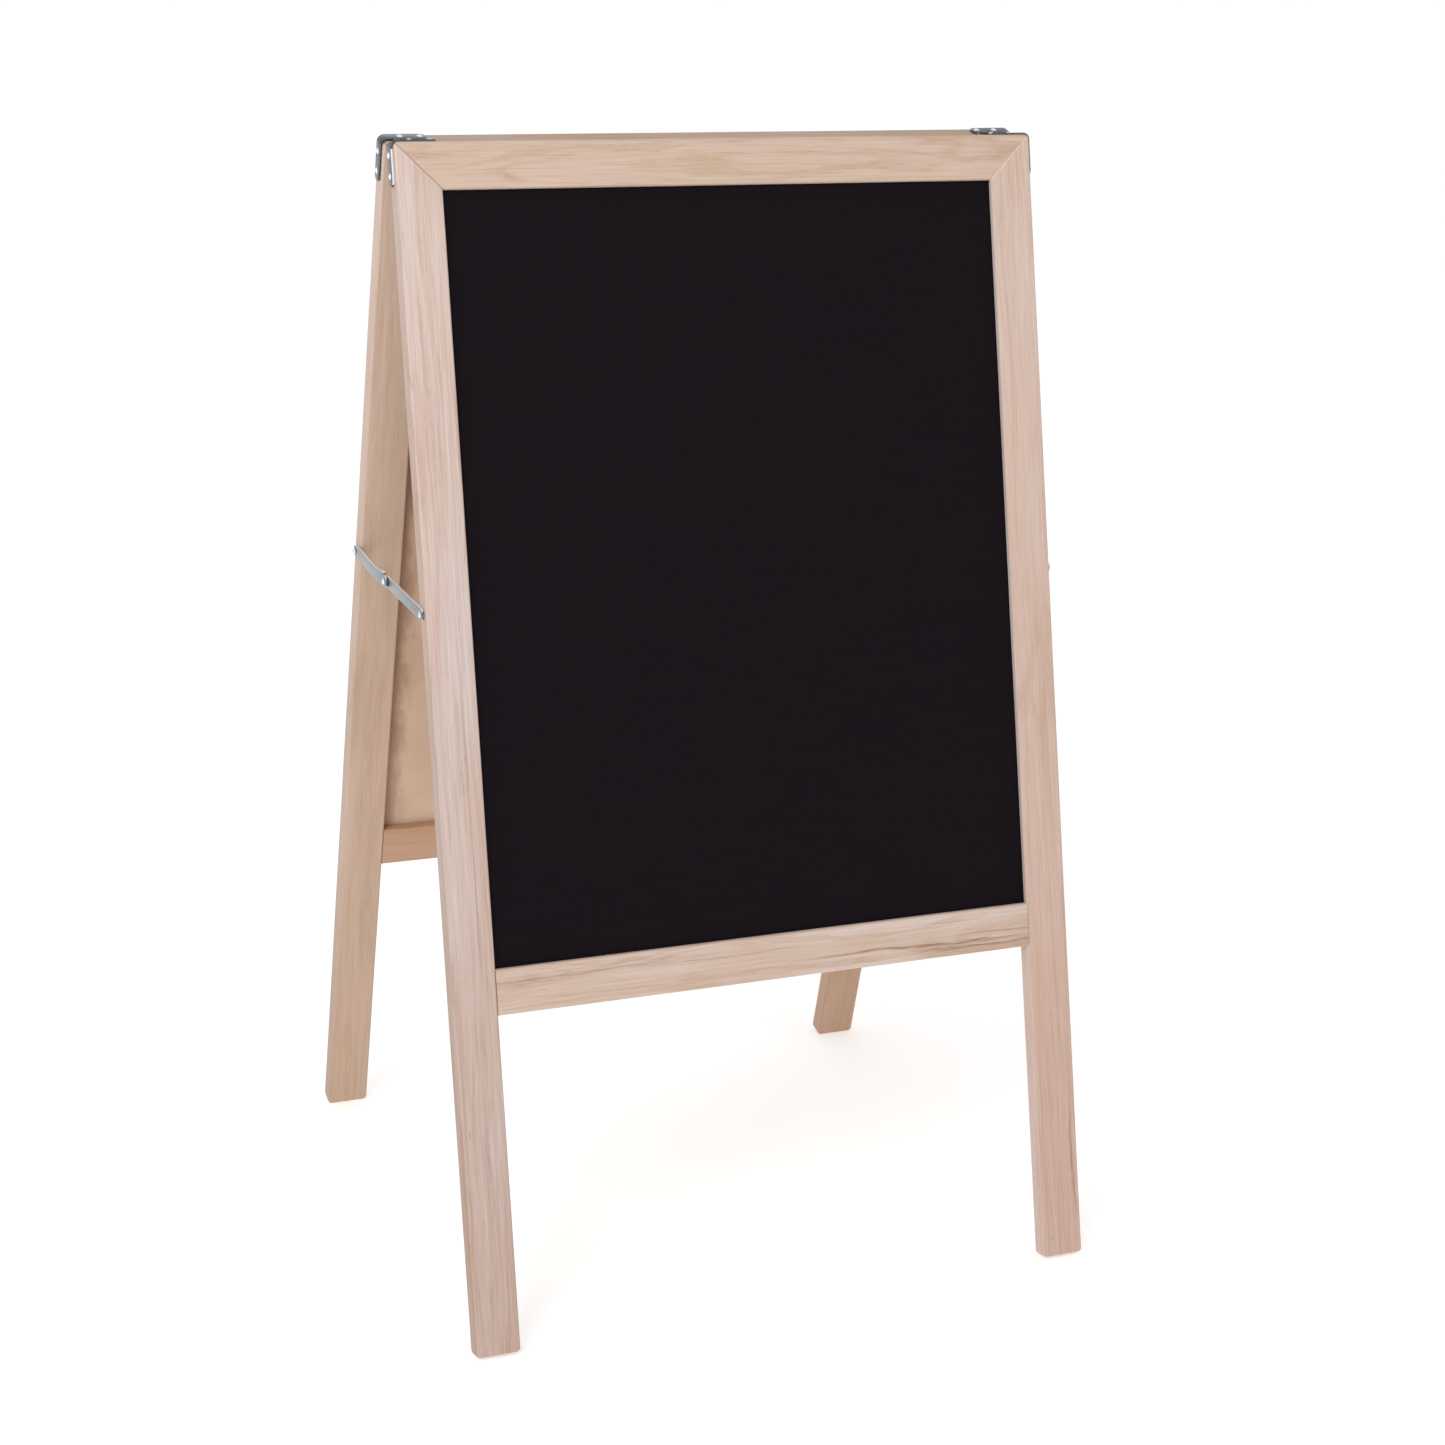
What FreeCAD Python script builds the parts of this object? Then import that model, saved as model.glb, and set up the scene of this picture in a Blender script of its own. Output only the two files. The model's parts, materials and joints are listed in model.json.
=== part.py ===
"""Folding A-frame chalkboard sign: two hardwood frames hinged at the top and held
open by a folding brace on each side.

Units are millimetres. The origin is on the floor, midway between the feet. +X is to the
right of someone reading the front board, the front board faces -Y, and +Z is up.

Every piece of a frame is drawn with the sign folded shut and upright: the hinge pin's axis
is the X axis, the front frame hangs below it on the -Y side, and its inner face looks to +Y.
Its Placement then opens it. The rear frame is the same frame turned half a turn about Z.
"""
import FreeCAD, Part
import Sketcher
import math
import os

from FreeCAD import Placement, Rotation, Vector

LEFT, RIGHT = -1, 1
SIDES = {"left": LEFT, "right": RIGHT}

# Driving dimensions: alias, value, meaning.
DIMENSIONS = [
    ("board_width", 609.6, "overall width of each frame (24 in)"),
    ("board_length", 1066.8, "length of each frame along its slope (42 in)"),
    ("half_spread", 13.9, "degrees that each frame leans from upright when open"),
    ("member_width", 41.3, "face width of stiles and rails (1 5/8 in)"),
    ("member_thick", 19.0, "thickness of stiles and rails (3/4 in)"),
    ("rail_drop", 721.0, "from the frame's top to the top edge of the bottom rail"),
    ("edge_round", 2.5, "easing of the long edges"),
    ("corner_round", 5.0, "rounding of the frame's two top corners"),
    ("foot_round", 4.0, "rounding of the corners of each foot"),
    ("board_thick", 2.9, "hardboard"),
    ("coat_thick", 0.3, "chalkboard coating on the hardboard's outer face"),
    ("board_recess", 6.0, "from the frame's outer face to the coating"),
    ("slot_depth", 8.0, "depth of the slot that holds the board"),
    ("slot_slack", 0.2, "slot width beyond the board's thickness"),
    ("board_gap", 1.0, "from the board's edge to the bottom of its slot"),
    ("dowel_radius", 3.0, "dowels of the bottom rail"),
    ("dowel_length", 38.0, "half in the rail, half in the stile"),
    ("dowel_first", 15.0, "upper dowel, below the rail's top edge"),
    ("dowel_pitch", 15.0, "between the two dowels of a joint"),
    ("dowel_spare", 1.0, "length of a dowel's bore beyond each end of the dowel"),
    ("hole_slack", 0.05, "radial clearance around dowels and screws"),
    ("nail_depth", 8.0, "V nails, driven from the inner face"),
    ("nail_leg", 7.0, "length of each leg of a V nail"),
    ("nail_thick", 0.8, "sheet thickness of a V nail"),
    ("nail_first", 17.0, "outer V nail, in from both edges of the corner"),
    ("nail_pitch", 11.0, "between the two V nails of a corner"),
    ("fold_gap", 6.0, "from each inner face to the pin's axis, folded"),
    ("pin_height", 3.0, "pin axis above the top of the frames, folded"),
    ("leaf_thick", 2.0, "hinge strap"),
    ("leaf_width", 12.5, "hinge strap"),
    ("leaf_top_arm", 40.0, "strap along the top rail, from the frame's side"),
    ("leaf_side_arm", 37.5, "strap down the stile, from the frame's top"),
    ("leaf_bend", 4.0, "inner radius of the strap's bend"),
    ("leaf_inset", 3.0, "from the frame's inner face to the strap"),
    ("leaf_round", 5.5, "rounding of the corners at the ends of a strap"),
    ("knuckle_radius", 3.0, "outside of the hinge barrel"),
    ("knuckle_first", 8.0, "from the frame's side to the barrel"),
    ("knuckle_length", 10.5, "each of three knuckles"),
    ("knuckle_gap", 0.25, "between knuckles"),
    ("pin_radius", 1.5, "hinge pin"),
    ("pin_slack", 0.05, "radial running clearance on the hinge pin"),
    ("pin_head_radius", 2.3, "peened ends of the pin"),
    ("pin_head_thick", 0.6, "peened ends of the pin"),
    ("pin_play", 0.1, "from each end of the barrel to the pin's peened end"),
    ("top_screw_near", 16.5, "first hinge screw in the top, from the frame's side"),
    ("top_screw_far", 34.5, "second hinge screw in the top, from the frame's side"),
    ("side_screw_near", 10.8, "first hinge screw in the side, below the frame's top"),
    ("side_screw_far", 28.6, "second hinge screw in the side, below the frame's top"),
    ("screw_radius", 1.6, "shank of a hinge screw"),
    ("screw_length", 14.0, "hinge screw under its head"),
    ("screw_head_radius", 2.8, "hinge screw"),
    ("screw_head_height", 1.6, "hinge screw"),
    ("pilot_spare", 0.5, "depth of a pilot hole beyond its screw's length"),
    ("brace_drop", 404.0, "brace pivots below the frame's top"),
    ("link_width", 11.0, "brace bar"),
    ("link_thick", 2.0, "brace bar"),
    ("link_gap", 0.3, "from a stile's side to the brace bar"),
    ("link_shear_gap", 0.2, "between the two bars where they overlap"),
    ("link_nose_flat", 0.1, "flat left in the middle of a bar's rounded end"),
    ("joggle_start", 54.0, "where the outer bar steps in, from the middle rivet"),
    ("joggle_run", 36.0, "length of the step"),
    ("lug_start", 3.0, "stop lug on the outer bar, from the middle rivet"),
    ("lug_length", 13.0, "stop lug"),
    ("lug_height", 1.8, "stop lug above the bar's edge"),
    ("lug_round", 1.4, "rounding of the stop lug's upper corners"),
    ("pivot_radius", 2.0, "shank of a brace screw or rivet"),
    ("pivot_length", 18.0, "brace screw under its head"),
    ("pivot_head_radius", 3.3, "brace screw and rivet"),
    ("pivot_head_height", 2.0, "brace screw and rivet"),
    ("head_gap", 0.1, "under the head of a brace screw or rivet"),
    ("cross_width", 0.8, "driver recess in a screw head"),
    ("cross_depth", 1.1, "driver recess in a screw head"),
    ("overcut", 0.5, "how far a through cut runs past the faces it breaks"),
    ("overlap", 1.0, "how far added metal reaches into the strap or bar it joins"),
]
SIZE = {alias: value for alias, value, meaning in DIMENSIONS}
NEAR = 0.01  # lengths closer than this are the same length

# Lengths that several pieces share, as expressions on the sheet.
HALF_WIDTH = "dims.board_width / 2"
TOP = "-dims.pin_height"
BOTTOM = "(-dims.pin_height - dims.board_length)"
INNER_X = "(dims.board_width / 2 - dims.member_width)"
STRAP_EDGE = "(dims.fold_gap + dims.leaf_inset)"
STRAP_MIDDLE = "(dims.fold_gap + dims.leaf_inset + dims.leaf_width / 2)"
WOOD_MIDDLE = "(dims.fold_gap + dims.member_thick / 2)"
TOP_SCREWS = ["dims.top_screw_near", "dims.top_screw_far"]
SIDE_SCREWS = ["dims.side_screw_near", "dims.side_screw_far"]

doc = FreeCAD.newDocument("sandwich_board")


# ---------------------------------------------------------------- the sheet

def make_sheet():
    sheet = doc.addObject("Spreadsheet::Sheet", "dims")
    for row, (alias, value, meaning) in enumerate(DIMENSIONS, start=1):
        sheet.set(f"A{row}", str(value))
        sheet.setAlias(f"A{row}", alias)
        sheet.set(f"B{row}", "'" + meaning)
    doc.recompute()
    return sheet


dims = make_sheet()


def number(expression):
    return float(dims.evalExpression(expression))


# ------------------------------------------------------- sketches and features

def new_body(label):
    body = doc.addObject("PartDesign::Body", label)
    body.Label = label
    return body


def new_sketch(body, name, role, offset="0"):
    """A sketch on one of the body's own origin planes, moved along its normal by offset.

    XY_Plane looks along +Z, XZ_Plane along -Y and YZ_Plane along +X.
    """
    plane = [item for item in body.Origin.OriginFeatures if item.Role == role][0]
    sketch = body.newObject("Sketcher::SketchObject", f"{body.Label}_{name}")
    sketch.AttachmentSupport = (plane, [""])
    sketch.MapMode = "FlatFace"
    sketch.setExpression("AttachmentOffset.Base.z", offset)
    return sketch


def bind(sketch, constraint, name, expression):
    index = sketch.addConstraint(constraint)
    sketch.renameConstraint(index, name)
    sketch.setExpression(f"Constraints.{name}", expression)


def arc_between(start, end, radius):
    """The short arc from start to end. A positive radius puts its centre on the left."""
    chord = end - start
    middle = (start + end) * 0.5
    rise = math.sqrt(max(radius ** 2 - (chord.Length / 2) ** 2, 0.0))
    left = Vector(-chord.y, chord.x, 0).normalize()
    centre = middle + left * math.copysign(rise, radius)
    first, last = (start, end) if radius > 0 else (end, start)
    angles = [math.atan2(point.y - centre.y, point.x - centre.x) for point in (first, last)]
    circle = Part.Circle(centre, Vector(0, 0, 1), abs(radius))
    return Part.ArcOfCircle(circle, *angles)


def add_outline(sketch, corners):
    """A closed outline. Each corner is (x, y), or (x, y, radius) where an arc starts."""
    points = [Vector(number(corner[0]), number(corner[1]), 0) for corner in corners]
    base = sketch.GeometryCount
    ends = []
    for index, corner in enumerate(corners):
        start, end = points[index], points[(index + 1) % len(points)]
        if len(corner) == 3:
            radius = number(corner[2])
            sketch.addGeometry(arc_between(start, end, radius), False)
            bind(sketch, Sketcher.Constraint("Radius", base + index, abs(radius)),
                 f"r{base + index}", f"abs({corner[2]})")
            ends.append((1, 2) if radius > 0 else (2, 1))
        else:
            sketch.addGeometry(Part.LineSegment(start, end), False)
            ends.append((1, 2))
    for index, corner in enumerate(corners):
        following = (index + 1) % len(corners)
        sketch.addConstraint(Sketcher.Constraint(
            "Coincident", base + index, ends[index][1], base + following, ends[following][0]))
        for axis, expression in zip("XY", corner):
            bind(sketch, Sketcher.Constraint("Distance" + axis, -1, 1, base + index,
                                             ends[index][0], number(expression)),
                 f"{axis.lower()}{base + index}", expression)


def add_rectangle(sketch, low_x, high_x, low_y, high_y):
    add_outline(sketch, [(low_x, low_y), (high_x, low_y), (high_x, high_y), (low_x, high_y)])


def add_circle(sketch, x, y, radius):
    index = sketch.GeometryCount
    centre = Vector(number(x), number(y), 0)
    sketch.addGeometry(Part.Circle(centre, Vector(0, 0, 1), number(radius)), False)
    bind(sketch, Sketcher.Constraint("Radius", index, number(radius)), f"r{index}", radius)
    for axis, expression in zip("XY", (x, y)):
        bind(sketch, Sketcher.Constraint("Distance" + axis, -1, 1, index, 3, number(expression)),
             f"{axis.lower()}{index}", expression)


def pad(body, sketch, length):
    """Grow the body from the sketch along the sketch's normal."""
    feature = body.newObject("PartDesign::Pad", sketch.Name + "_pad")
    feature.Profile = sketch
    feature.setExpression("Length", length)
    doc.recompute()
    return feature


def pocket(body, sketch, length, along_normal=False):
    """Cut the body from the sketch, against its normal unless along_normal is set."""
    before = body.Shape.Volume
    feature = body.newObject("PartDesign::Pocket", sketch.Name + "_pocket")
    feature.Profile = sketch
    feature.setExpression("Length", length)
    feature.Reversed = along_normal
    doc.recompute()
    if not body.Shape.Volume < before - NEAR:
        raise RuntimeError(f"{sketch.Name} cuts nothing")
    return feature


def round_edges(body, radius, wanted):
    """Fillet every edge of the body's present shape that wanted(edge) accepts."""
    base = body.Tip
    names = [f"Edge{index}" for index, edge in enumerate(base.Shape.Edges, start=1) if wanted(edge)]
    feature = body.newObject("PartDesign::Fillet", f"{body.Label}_round")
    feature.Base = (base, names)
    feature.setExpression("Radius", radius)
    doc.recompute()
    return feature


def times(side, expression):
    """The expression on the right side, and its mirror image on the left."""
    return expression if side == RIGHT else f"-({expression})"


# ------------------------------------------------------------- timber frames

def cut_board_slot(body):
    """The slot for the board, the same rectangle in all four members of a frame."""
    front_of_slot = ("dims.fold_gap + dims.member_thick - dims.board_recess"
                     " + dims.slot_slack / 2")
    sketch = new_sketch(body, "slot", "XZ_Plane", front_of_slot)
    reach = "(dims.board_width / 2 - dims.member_width + dims.slot_depth)"
    add_rectangle(sketch, f"-{reach}", reach,
                  "-dims.pin_height - dims.rail_drop - dims.slot_depth",
                  "-dims.pin_height - dims.member_width + dims.slot_depth")
    pocket(body, sketch, "dims.board_thick + dims.coat_thick + dims.slot_slack")


def dowel_heights():
    first = "(-dims.pin_height - dims.rail_drop - dims.dowel_first)"
    return [first, f"({first} - dims.dowel_pitch)"]


def bore_for_dowels(body, side):
    """Bores on one side's rail joint, cut inwards from their blind end in the stile."""
    blind_end = times(side, f"{INNER_X} + dims.dowel_length / 2 + dims.dowel_spare")
    sketch = new_sketch(body, f"dowels_{side + 1}", "YZ_Plane", blind_end)
    for height in dowel_heights():
        add_circle(sketch, f"-{WOOD_MIDDLE}", height, "dims.dowel_radius + dims.hole_slack")
    pocket(body, sketch, "dims.dowel_length + 2 * dims.dowel_spare", along_normal=side == LEFT)


def nail_corners(side):
    """Corner point of each V nail, on the mitre: (x, z)."""
    for index in range(2):
        inset = f"(dims.nail_first + {index} * dims.nail_pitch)"
        yield times(side, f"{HALF_WIDTH} - {inset}"), f"({TOP} - {inset})"


def nail_outline(side, x, z, slack="0"):
    """An L whose one leg lies in the rail, towards the middle, and the other in the stile."""
    inward = -side
    wide = f"{inward} * (dims.nail_leg + {slack})"
    tall = f"(dims.nail_leg + {slack})"
    sheet = f"(dims.nail_thick + {slack})"
    return [(f"{x} - ({inward}) * {slack}", f"{z} + {slack}"),
            (f"{x} + {wide}", f"{z} + {slack}"),
            (f"{x} + {wide}", f"{z} - {sheet}"),
            (f"{x} + ({inward}) * {sheet}", f"{z} - {sheet}"),
            (f"{x} + ({inward}) * {sheet}", f"{z} - {tall}"),
            (f"{x} - ({inward}) * {slack}", f"{z} - {tall}")]


def cut_nail_slots(body, side):
    sketch = new_sketch(body, f"nails_{side + 1}", "XZ_Plane", "dims.fold_gap")
    for x, z in nail_corners(side):
        add_outline(sketch, nail_outline(side, x, z, "dims.hole_slack"))
    pocket(body, sketch, "dims.nail_depth + dims.hole_slack", along_normal=True)


def ease_long_edges(body, keep_sharp):
    """Round the edges of the inner and outer faces, except those on a joint."""
    faces = [-SIZE["fold_gap"], -SIZE["fold_gap"] - SIZE["member_thick"]]

    def wanted(edge):
        ends = [vertex.Point for vertex in edge.Vertexes]
        on_face = any(all(abs(end.y - face) < NEAR for end in ends) for face in faces)
        return on_face and not keep_sharp(edge)

    round_edges(body, "dims.edge_round", wanted)


def is_mitre_edge(edge):
    """True for a straight edge that runs at 45 degrees across the face."""
    if len(edge.Vertexes) < 2 or edge.Curve.TypeId != "Part::GeomLine":
        return False
    run = edge.Vertexes[1].Point - edge.Vertexes[0].Point
    return abs(abs(run.x) - abs(run.z)) < NEAR


def is_end_edge(edge):
    """True for a straight edge that runs up and down, at the square end of a rail."""
    run = edge.Vertexes[-1].Point - edge.Vertexes[0].Point
    return abs(run.x) < NEAR


def corner_chord(side):
    """Where the rounded top corner meets the mitre: (x, z)."""
    inset = "dims.corner_round * (1 - cos(45))"
    return times(side, f"{HALF_WIDTH} - {inset}"), f"{TOP} - {inset}"


def pilot_holes_in_side(body, name, side, drops, y, kind):
    """Holes drilled in from a frame's side, at each drop below its top, at one y.

    The kind of fastener, "screw" or "pivot", gives their radius and depth.
    """
    sketch = new_sketch(body, name, "YZ_Plane", times(side, HALF_WIDTH))
    for drop in drops:
        add_circle(sketch, y, f"{TOP} - {drop}", f"dims.{kind}_radius + dims.hole_slack")
    pocket(body, sketch, f"dims.{kind}_length + dims.pilot_spare", along_normal=side == LEFT)


def make_stile(label, side):
    """A leg and side of a frame: mitred at the top, square at the foot."""
    body = new_body(label)
    x_outer = times(side, HALF_WIDTH)
    x_inner = times(side, INNER_X)
    x_foot_outer = times(side, f"{HALF_WIDTH} - dims.foot_round")
    x_foot_inner = times(side, f"{INNER_X} + dims.foot_round")
    z_foot = f"{BOTTOM} + dims.foot_round"
    turn = -side
    outline = new_sketch(body, "outline", "XZ_Plane", "dims.fold_gap")
    add_outline(outline, [
        corner_chord(side) + (f"{turn} * dims.corner_round",),
        (x_outer, f"{TOP} - dims.corner_round"),
        (x_outer, z_foot, f"{turn} * dims.foot_round"),
        (x_foot_outer, BOTTOM),
        (x_foot_inner, BOTTOM, f"{turn} * dims.foot_round"),
        (x_inner, z_foot),
        (x_inner, f"{TOP} - dims.member_width"),
    ])
    pad(body, outline, "dims.member_thick")
    ease_long_edges(body, is_mitre_edge)
    cut_board_slot(body)
    bore_for_dowels(body, side)
    cut_nail_slots(body, side)
    pilot_holes_in_side(body, "hinge_pilots", side, SIDE_SCREWS, f"-{STRAP_MIDDLE}", "screw")
    pilot_holes_in_side(body, "brace_pilot", side, ["dims.brace_drop"], f"-{WOOD_MIDDLE}", "pivot")
    return body


def make_top_rail(label):
    """Mitred at both ends, with the hinge straps screwed to its top.

    The tip of each upper side screw passes through the mitre into the rail.
    """
    body = new_body(label)
    outline = new_sketch(body, "outline", "XZ_Plane", "dims.fold_gap")
    inner_z = f"{TOP} - dims.member_width"
    add_outline(outline, [
        (f"-{INNER_X}", inner_z),
        (INNER_X, inner_z),
        corner_chord(RIGHT) + ("dims.corner_round",),
        (f"{HALF_WIDTH} - dims.corner_round", TOP),
        (f"-({HALF_WIDTH} - dims.corner_round)", TOP, "dims.corner_round"),
        corner_chord(LEFT),
    ])
    pad(body, outline, "dims.member_thick")
    ease_long_edges(body, is_mitre_edge)
    cut_board_slot(body)
    holes = new_sketch(body, "pilots", "XY_Plane", TOP)
    for side_name, side in SIDES.items():
        cut_nail_slots(body, side)
        pilot_holes_in_side(body, f"{side_name}_side_pilot", side, SIDE_SCREWS[:1],
                            f"-{STRAP_MIDDLE}", "screw")
        for inset in TOP_SCREWS:
            add_circle(holes, times(side, f"{HALF_WIDTH} - {inset}"), f"-{STRAP_MIDDLE}",
                       "dims.screw_radius + dims.hole_slack")
    pocket(body, holes, "dims.screw_length + dims.pilot_spare")
    return body


def make_bottom_rail(label):
    """Square-ended, dowelled between the stiles."""
    body = new_body(label)
    outline = new_sketch(body, "outline", "XZ_Plane", "dims.fold_gap")
    top = "-dims.pin_height - dims.rail_drop"
    add_rectangle(outline, f"-{INNER_X}", INNER_X, f"{top} - dims.member_width", top)
    pad(body, outline, "dims.member_thick")
    ease_long_edges(body, is_end_edge)
    cut_board_slot(body)
    for side in SIDES.values():
        bore_for_dowels(body, side)
    return body


def make_panel(label, depth, thickness):
    """A sheet held in the slots, with its outer face at depth behind the frame's face."""
    body = new_body(label)
    outline = new_sketch(body, "outline", "XZ_Plane",
                         f"dims.fold_gap + dims.member_thick - {depth} - {thickness}")
    reach = "(dims.board_width / 2 - dims.member_width + dims.slot_depth - dims.board_gap)"
    add_rectangle(outline, f"-{reach}", reach,
                  "-dims.pin_height - dims.rail_drop - dims.slot_depth + dims.board_gap",
                  "-dims.pin_height - dims.member_width + dims.slot_depth - dims.board_gap")
    pad(body, outline, thickness)
    return body


# ------------------------------------------------- solids made of primitives

def primitive(kind, name, place=None, **sizes):
    """A Part primitive whose sizes are bound to the sheet."""
    item = doc.addObject(f"Part::{kind}", name)
    for size, expression in sizes.items():
        item.setExpression(size, expression)
    if place is not None:
        item.Placement = place
    return item


def combined(kind, name, parts):
    """A Part::MultiFuse or Part::Compound of the given objects."""
    item = doc.addObject(f"Part::{kind}", name)
    if kind == "Compound":
        item.Links = parts
    else:
        item.Shapes = parts
    item.Label = name
    return item


def cut_from(name, base, tool):
    item = doc.addObject("Part::Cut", name)
    item.Base = base
    item.Tool = tool
    item.Label = name
    return item


def towards(direction, point):
    """A Placement that turns +Z to the direction and moves the origin to the point."""
    return Placement(point, Rotation(Vector(0, 0, 1), direction))


def along_x(x, y, z):
    return Placement(Vector(x, y, z), Rotation(Vector(0, 1, 0), 90))


def make_dome(name, radius, height):
    """A domed head that stands on the XY plane."""
    ball = f"((({radius}) ^ 2 + ({height}) ^ 2) / (2 * ({height})))"
    lowest = f"asin(1 - ({height}) / {ball})"
    dome = primitive("Sphere", name, Radius=ball, Angle1=lowest)
    dome.Placement = Placement(Vector(0, 0, number(f"{height} - {ball}")), Rotation())
    return dome


def make_fastener(name, radius, length, head_radius, head_height, driven):
    """A domed screw or rivet along Z, with the underside of its head at the origin."""
    shank = primitive("Cylinder", name + "_shank", Radius=radius, Height=length)
    shank.Placement = Placement(Vector(0, 0, -number(length)), Rotation())
    dome = make_dome(name + "_dome", head_radius, head_height)
    blank = combined("MultiFuse", name + "_blank" if driven else name, [shank, dome])
    if not driven:
        return blank
    slots = []
    for index, (wide, deep) in enumerate([(head_radius, "dims.cross_width"),
                                          ("dims.cross_width", head_radius)]):
        slot = primitive("Box", f"{name}_slot{index}", Length=wide, Width=deep, Height=head_height)
        corner = Vector(-number(wide) / 2, -number(deep) / 2,
                        number(head_height) - number("dims.cross_depth"))
        slot.Placement = Placement(corner, Rotation())
        slots.append(slot)
    cross = combined("MultiFuse", name + "_cross", slots)
    return cut_from(name, blank, cross)


def make_dowels(label):
    dowels = []
    for side_name, side in SIDES.items():
        middle = side * number(INNER_X) - number("dims.dowel_length / 2")
        for index, height in enumerate(dowel_heights()):
            place = along_x(middle, -number(WOOD_MIDDLE), number(height))
            dowels.append(primitive("Cylinder", f"{label}_{side_name}{index}", place,
                                    Radius="dims.dowel_radius", Height="dims.dowel_length"))
    return combined("Compound", label, dowels)


def make_nails(label):
    """Four V nails, two across each mitre."""
    nails = []
    for side_name, side in SIDES.items():
        for index, (x, z) in enumerate(nail_corners(side)):
            name = f"{label}_{side_name}{index}"
            corner_x, corner_z = number(x), number(z)
            depth_y = -number("dims.fold_gap + dims.nail_depth")
            leg, sheet = SIZE["nail_leg"], SIZE["nail_thick"]
            low_x = corner_x - (leg if side == RIGHT else 0)
            flat = primitive("Box", name + "_rail_leg",
                             Placement(Vector(low_x, depth_y, corner_z - sheet), Rotation()),
                             Length="dims.nail_leg", Width="dims.nail_depth",
                             Height="dims.nail_thick")
            low_x = corner_x - (sheet if side == RIGHT else 0)
            upright = primitive("Box", name + "_stile_leg",
                                Placement(Vector(low_x, depth_y, corner_z - leg), Rotation()),
                                Length="dims.nail_thick", Width="dims.nail_depth",
                                Height="dims.nail_leg")
            nails.append(combined("MultiFuse", name, [flat, upright]))
    return combined("Compound", label, nails)


# ------------------------------------------------------------------- hinges

def knuckle_start(index):
    """From the frame's side to the near end of a knuckle."""
    return f"(dims.knuckle_first + {index} * (dims.knuckle_length + dims.knuckle_gap))"


def low_end(side, start, length):
    """The smaller x of a stretch that begins at start, measured in from the frame's side."""
    if side == RIGHT:
        return f"{HALF_WIDTH} - {start} - {length}"
    return f"-{HALF_WIDTH} + {start}"


def make_leaf(label, side, knuckles):
    """A strap bent over the frame's corner, with its knuckles on the pin's axis."""
    body = new_body(label)
    x_side = times(side, HALF_WIDTH)
    x_out = times(side, f"{HALF_WIDTH} + dims.leaf_thick")
    x_bend = times(side, f"{HALF_WIDTH} - dims.leaf_bend")
    x_end = times(side, f"{HALF_WIDTH} - dims.leaf_top_arm")
    z_bend = f"{TOP} - dims.leaf_bend"
    z_end = f"{TOP} - dims.leaf_side_arm"
    z_top = f"{TOP} + dims.leaf_thick"
    strap = new_sketch(body, "strap", "XZ_Plane", STRAP_EDGE)
    add_outline(strap, [
        (x_end, TOP),
        (x_bend, TOP, f"{-side} * dims.leaf_bend"),
        (x_side, z_bend),
        (x_side, z_end),
        (x_out, z_end),
        (x_out, z_bend, f"{side} * (dims.leaf_bend + dims.leaf_thick)"),
        (x_bend, z_top),
        (x_end, z_top),
    ])
    pad(body, strap, "dims.leaf_width")

    inner_edge = -number(STRAP_EDGE)
    arm_x, arm_z = abs(number(x_end)), number(z_end)

    def is_corner(edge):
        """An edge across the strap's thickness, at the end of an arm and with no knuckle."""
        if abs(edge.Length - SIZE["leaf_thick"]) > NEAR:
            return False
        middle = edge.CenterOfMass
        ends_top_arm = abs(abs(middle.x) - arm_x) < NEAR
        ends_side_arm = abs(middle.z - arm_z) < NEAR
        holds_knuckle = max(knuckles) == 2 and abs(middle.y - inner_edge) < NEAR
        return ends_side_arm or (ends_top_arm and not holds_knuckle)

    round_edges(body, "dims.leaf_round", is_corner)
    for index in knuckles:
        low_x = low_end(side, knuckle_start(index), "dims.knuckle_length")
        web = new_sketch(body, f"web{index}", "XY_Plane", TOP)
        add_rectangle(web, low_x, f"{low_x} + dims.knuckle_length",
                      f"-{STRAP_EDGE} - dims.overlap", "0")
        pad(body, web, "dims.leaf_thick")
        barrel = new_sketch(body, f"barrel{index}", "YZ_Plane", low_x)
        add_circle(barrel, "0", "0", "dims.knuckle_radius")
        pad(body, barrel, "dims.knuckle_length")
    bore = new_sketch(body, "bore", "YZ_Plane", f"{HALF_WIDTH}")
    add_circle(bore, "0", "0", "dims.pin_radius + dims.pin_slack")
    pocket(body, bore, "dims.board_width")
    drill_leaf(body, side)
    return body


def drill_leaf(body, side):
    """Two screw holes through each arm of the strap."""
    top_holes = new_sketch(body, "top_holes", "XY_Plane", f"{TOP} + dims.leaf_thick")
    side_holes = new_sketch(body, "side_holes", "YZ_Plane",
                            times(side, f"{HALF_WIDTH} + dims.leaf_thick"))
    radius = "dims.screw_radius + dims.hole_slack"
    for inset in TOP_SCREWS:
        add_circle(top_holes, times(side, f"{HALF_WIDTH} - {inset}"), f"-{STRAP_MIDDLE}", radius)
    for drop in SIDE_SCREWS:
        add_circle(side_holes, f"-{STRAP_MIDDLE}", f"{TOP} - {drop}", radius)
    pocket(body, top_holes, "dims.leaf_thick + dims.overcut")
    pocket(body, side_holes, "dims.leaf_thick + dims.overcut", along_normal=side == LEFT)


def make_leaf_screws(label, side):
    """Two screws down into the top rail and two into the stile's side."""
    top_z = number(f"{TOP} + dims.leaf_thick")
    side_x = side * number(f"{HALF_WIDTH} + dims.leaf_thick")
    y = -number(STRAP_MIDDLE)
    places = [towards(Vector(0, 0, 1), Vector(side * number(f"{HALF_WIDTH} - {inset}"), y, top_z))
              for inset in TOP_SCREWS]
    places += [towards(Vector(side, 0, 0), Vector(side_x, y, number(f"{TOP} - {drop}")))
               for drop in SIDE_SCREWS]
    screws = []
    for index, place in enumerate(places):
        screw = make_fastener(f"{label}_{index}", "dims.screw_radius", "dims.screw_length",
                              "dims.screw_head_radius", "dims.screw_head_height", driven=True)
        screw.Placement = place
        screws.append(screw)
    return combined("Compound", label, screws)


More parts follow.
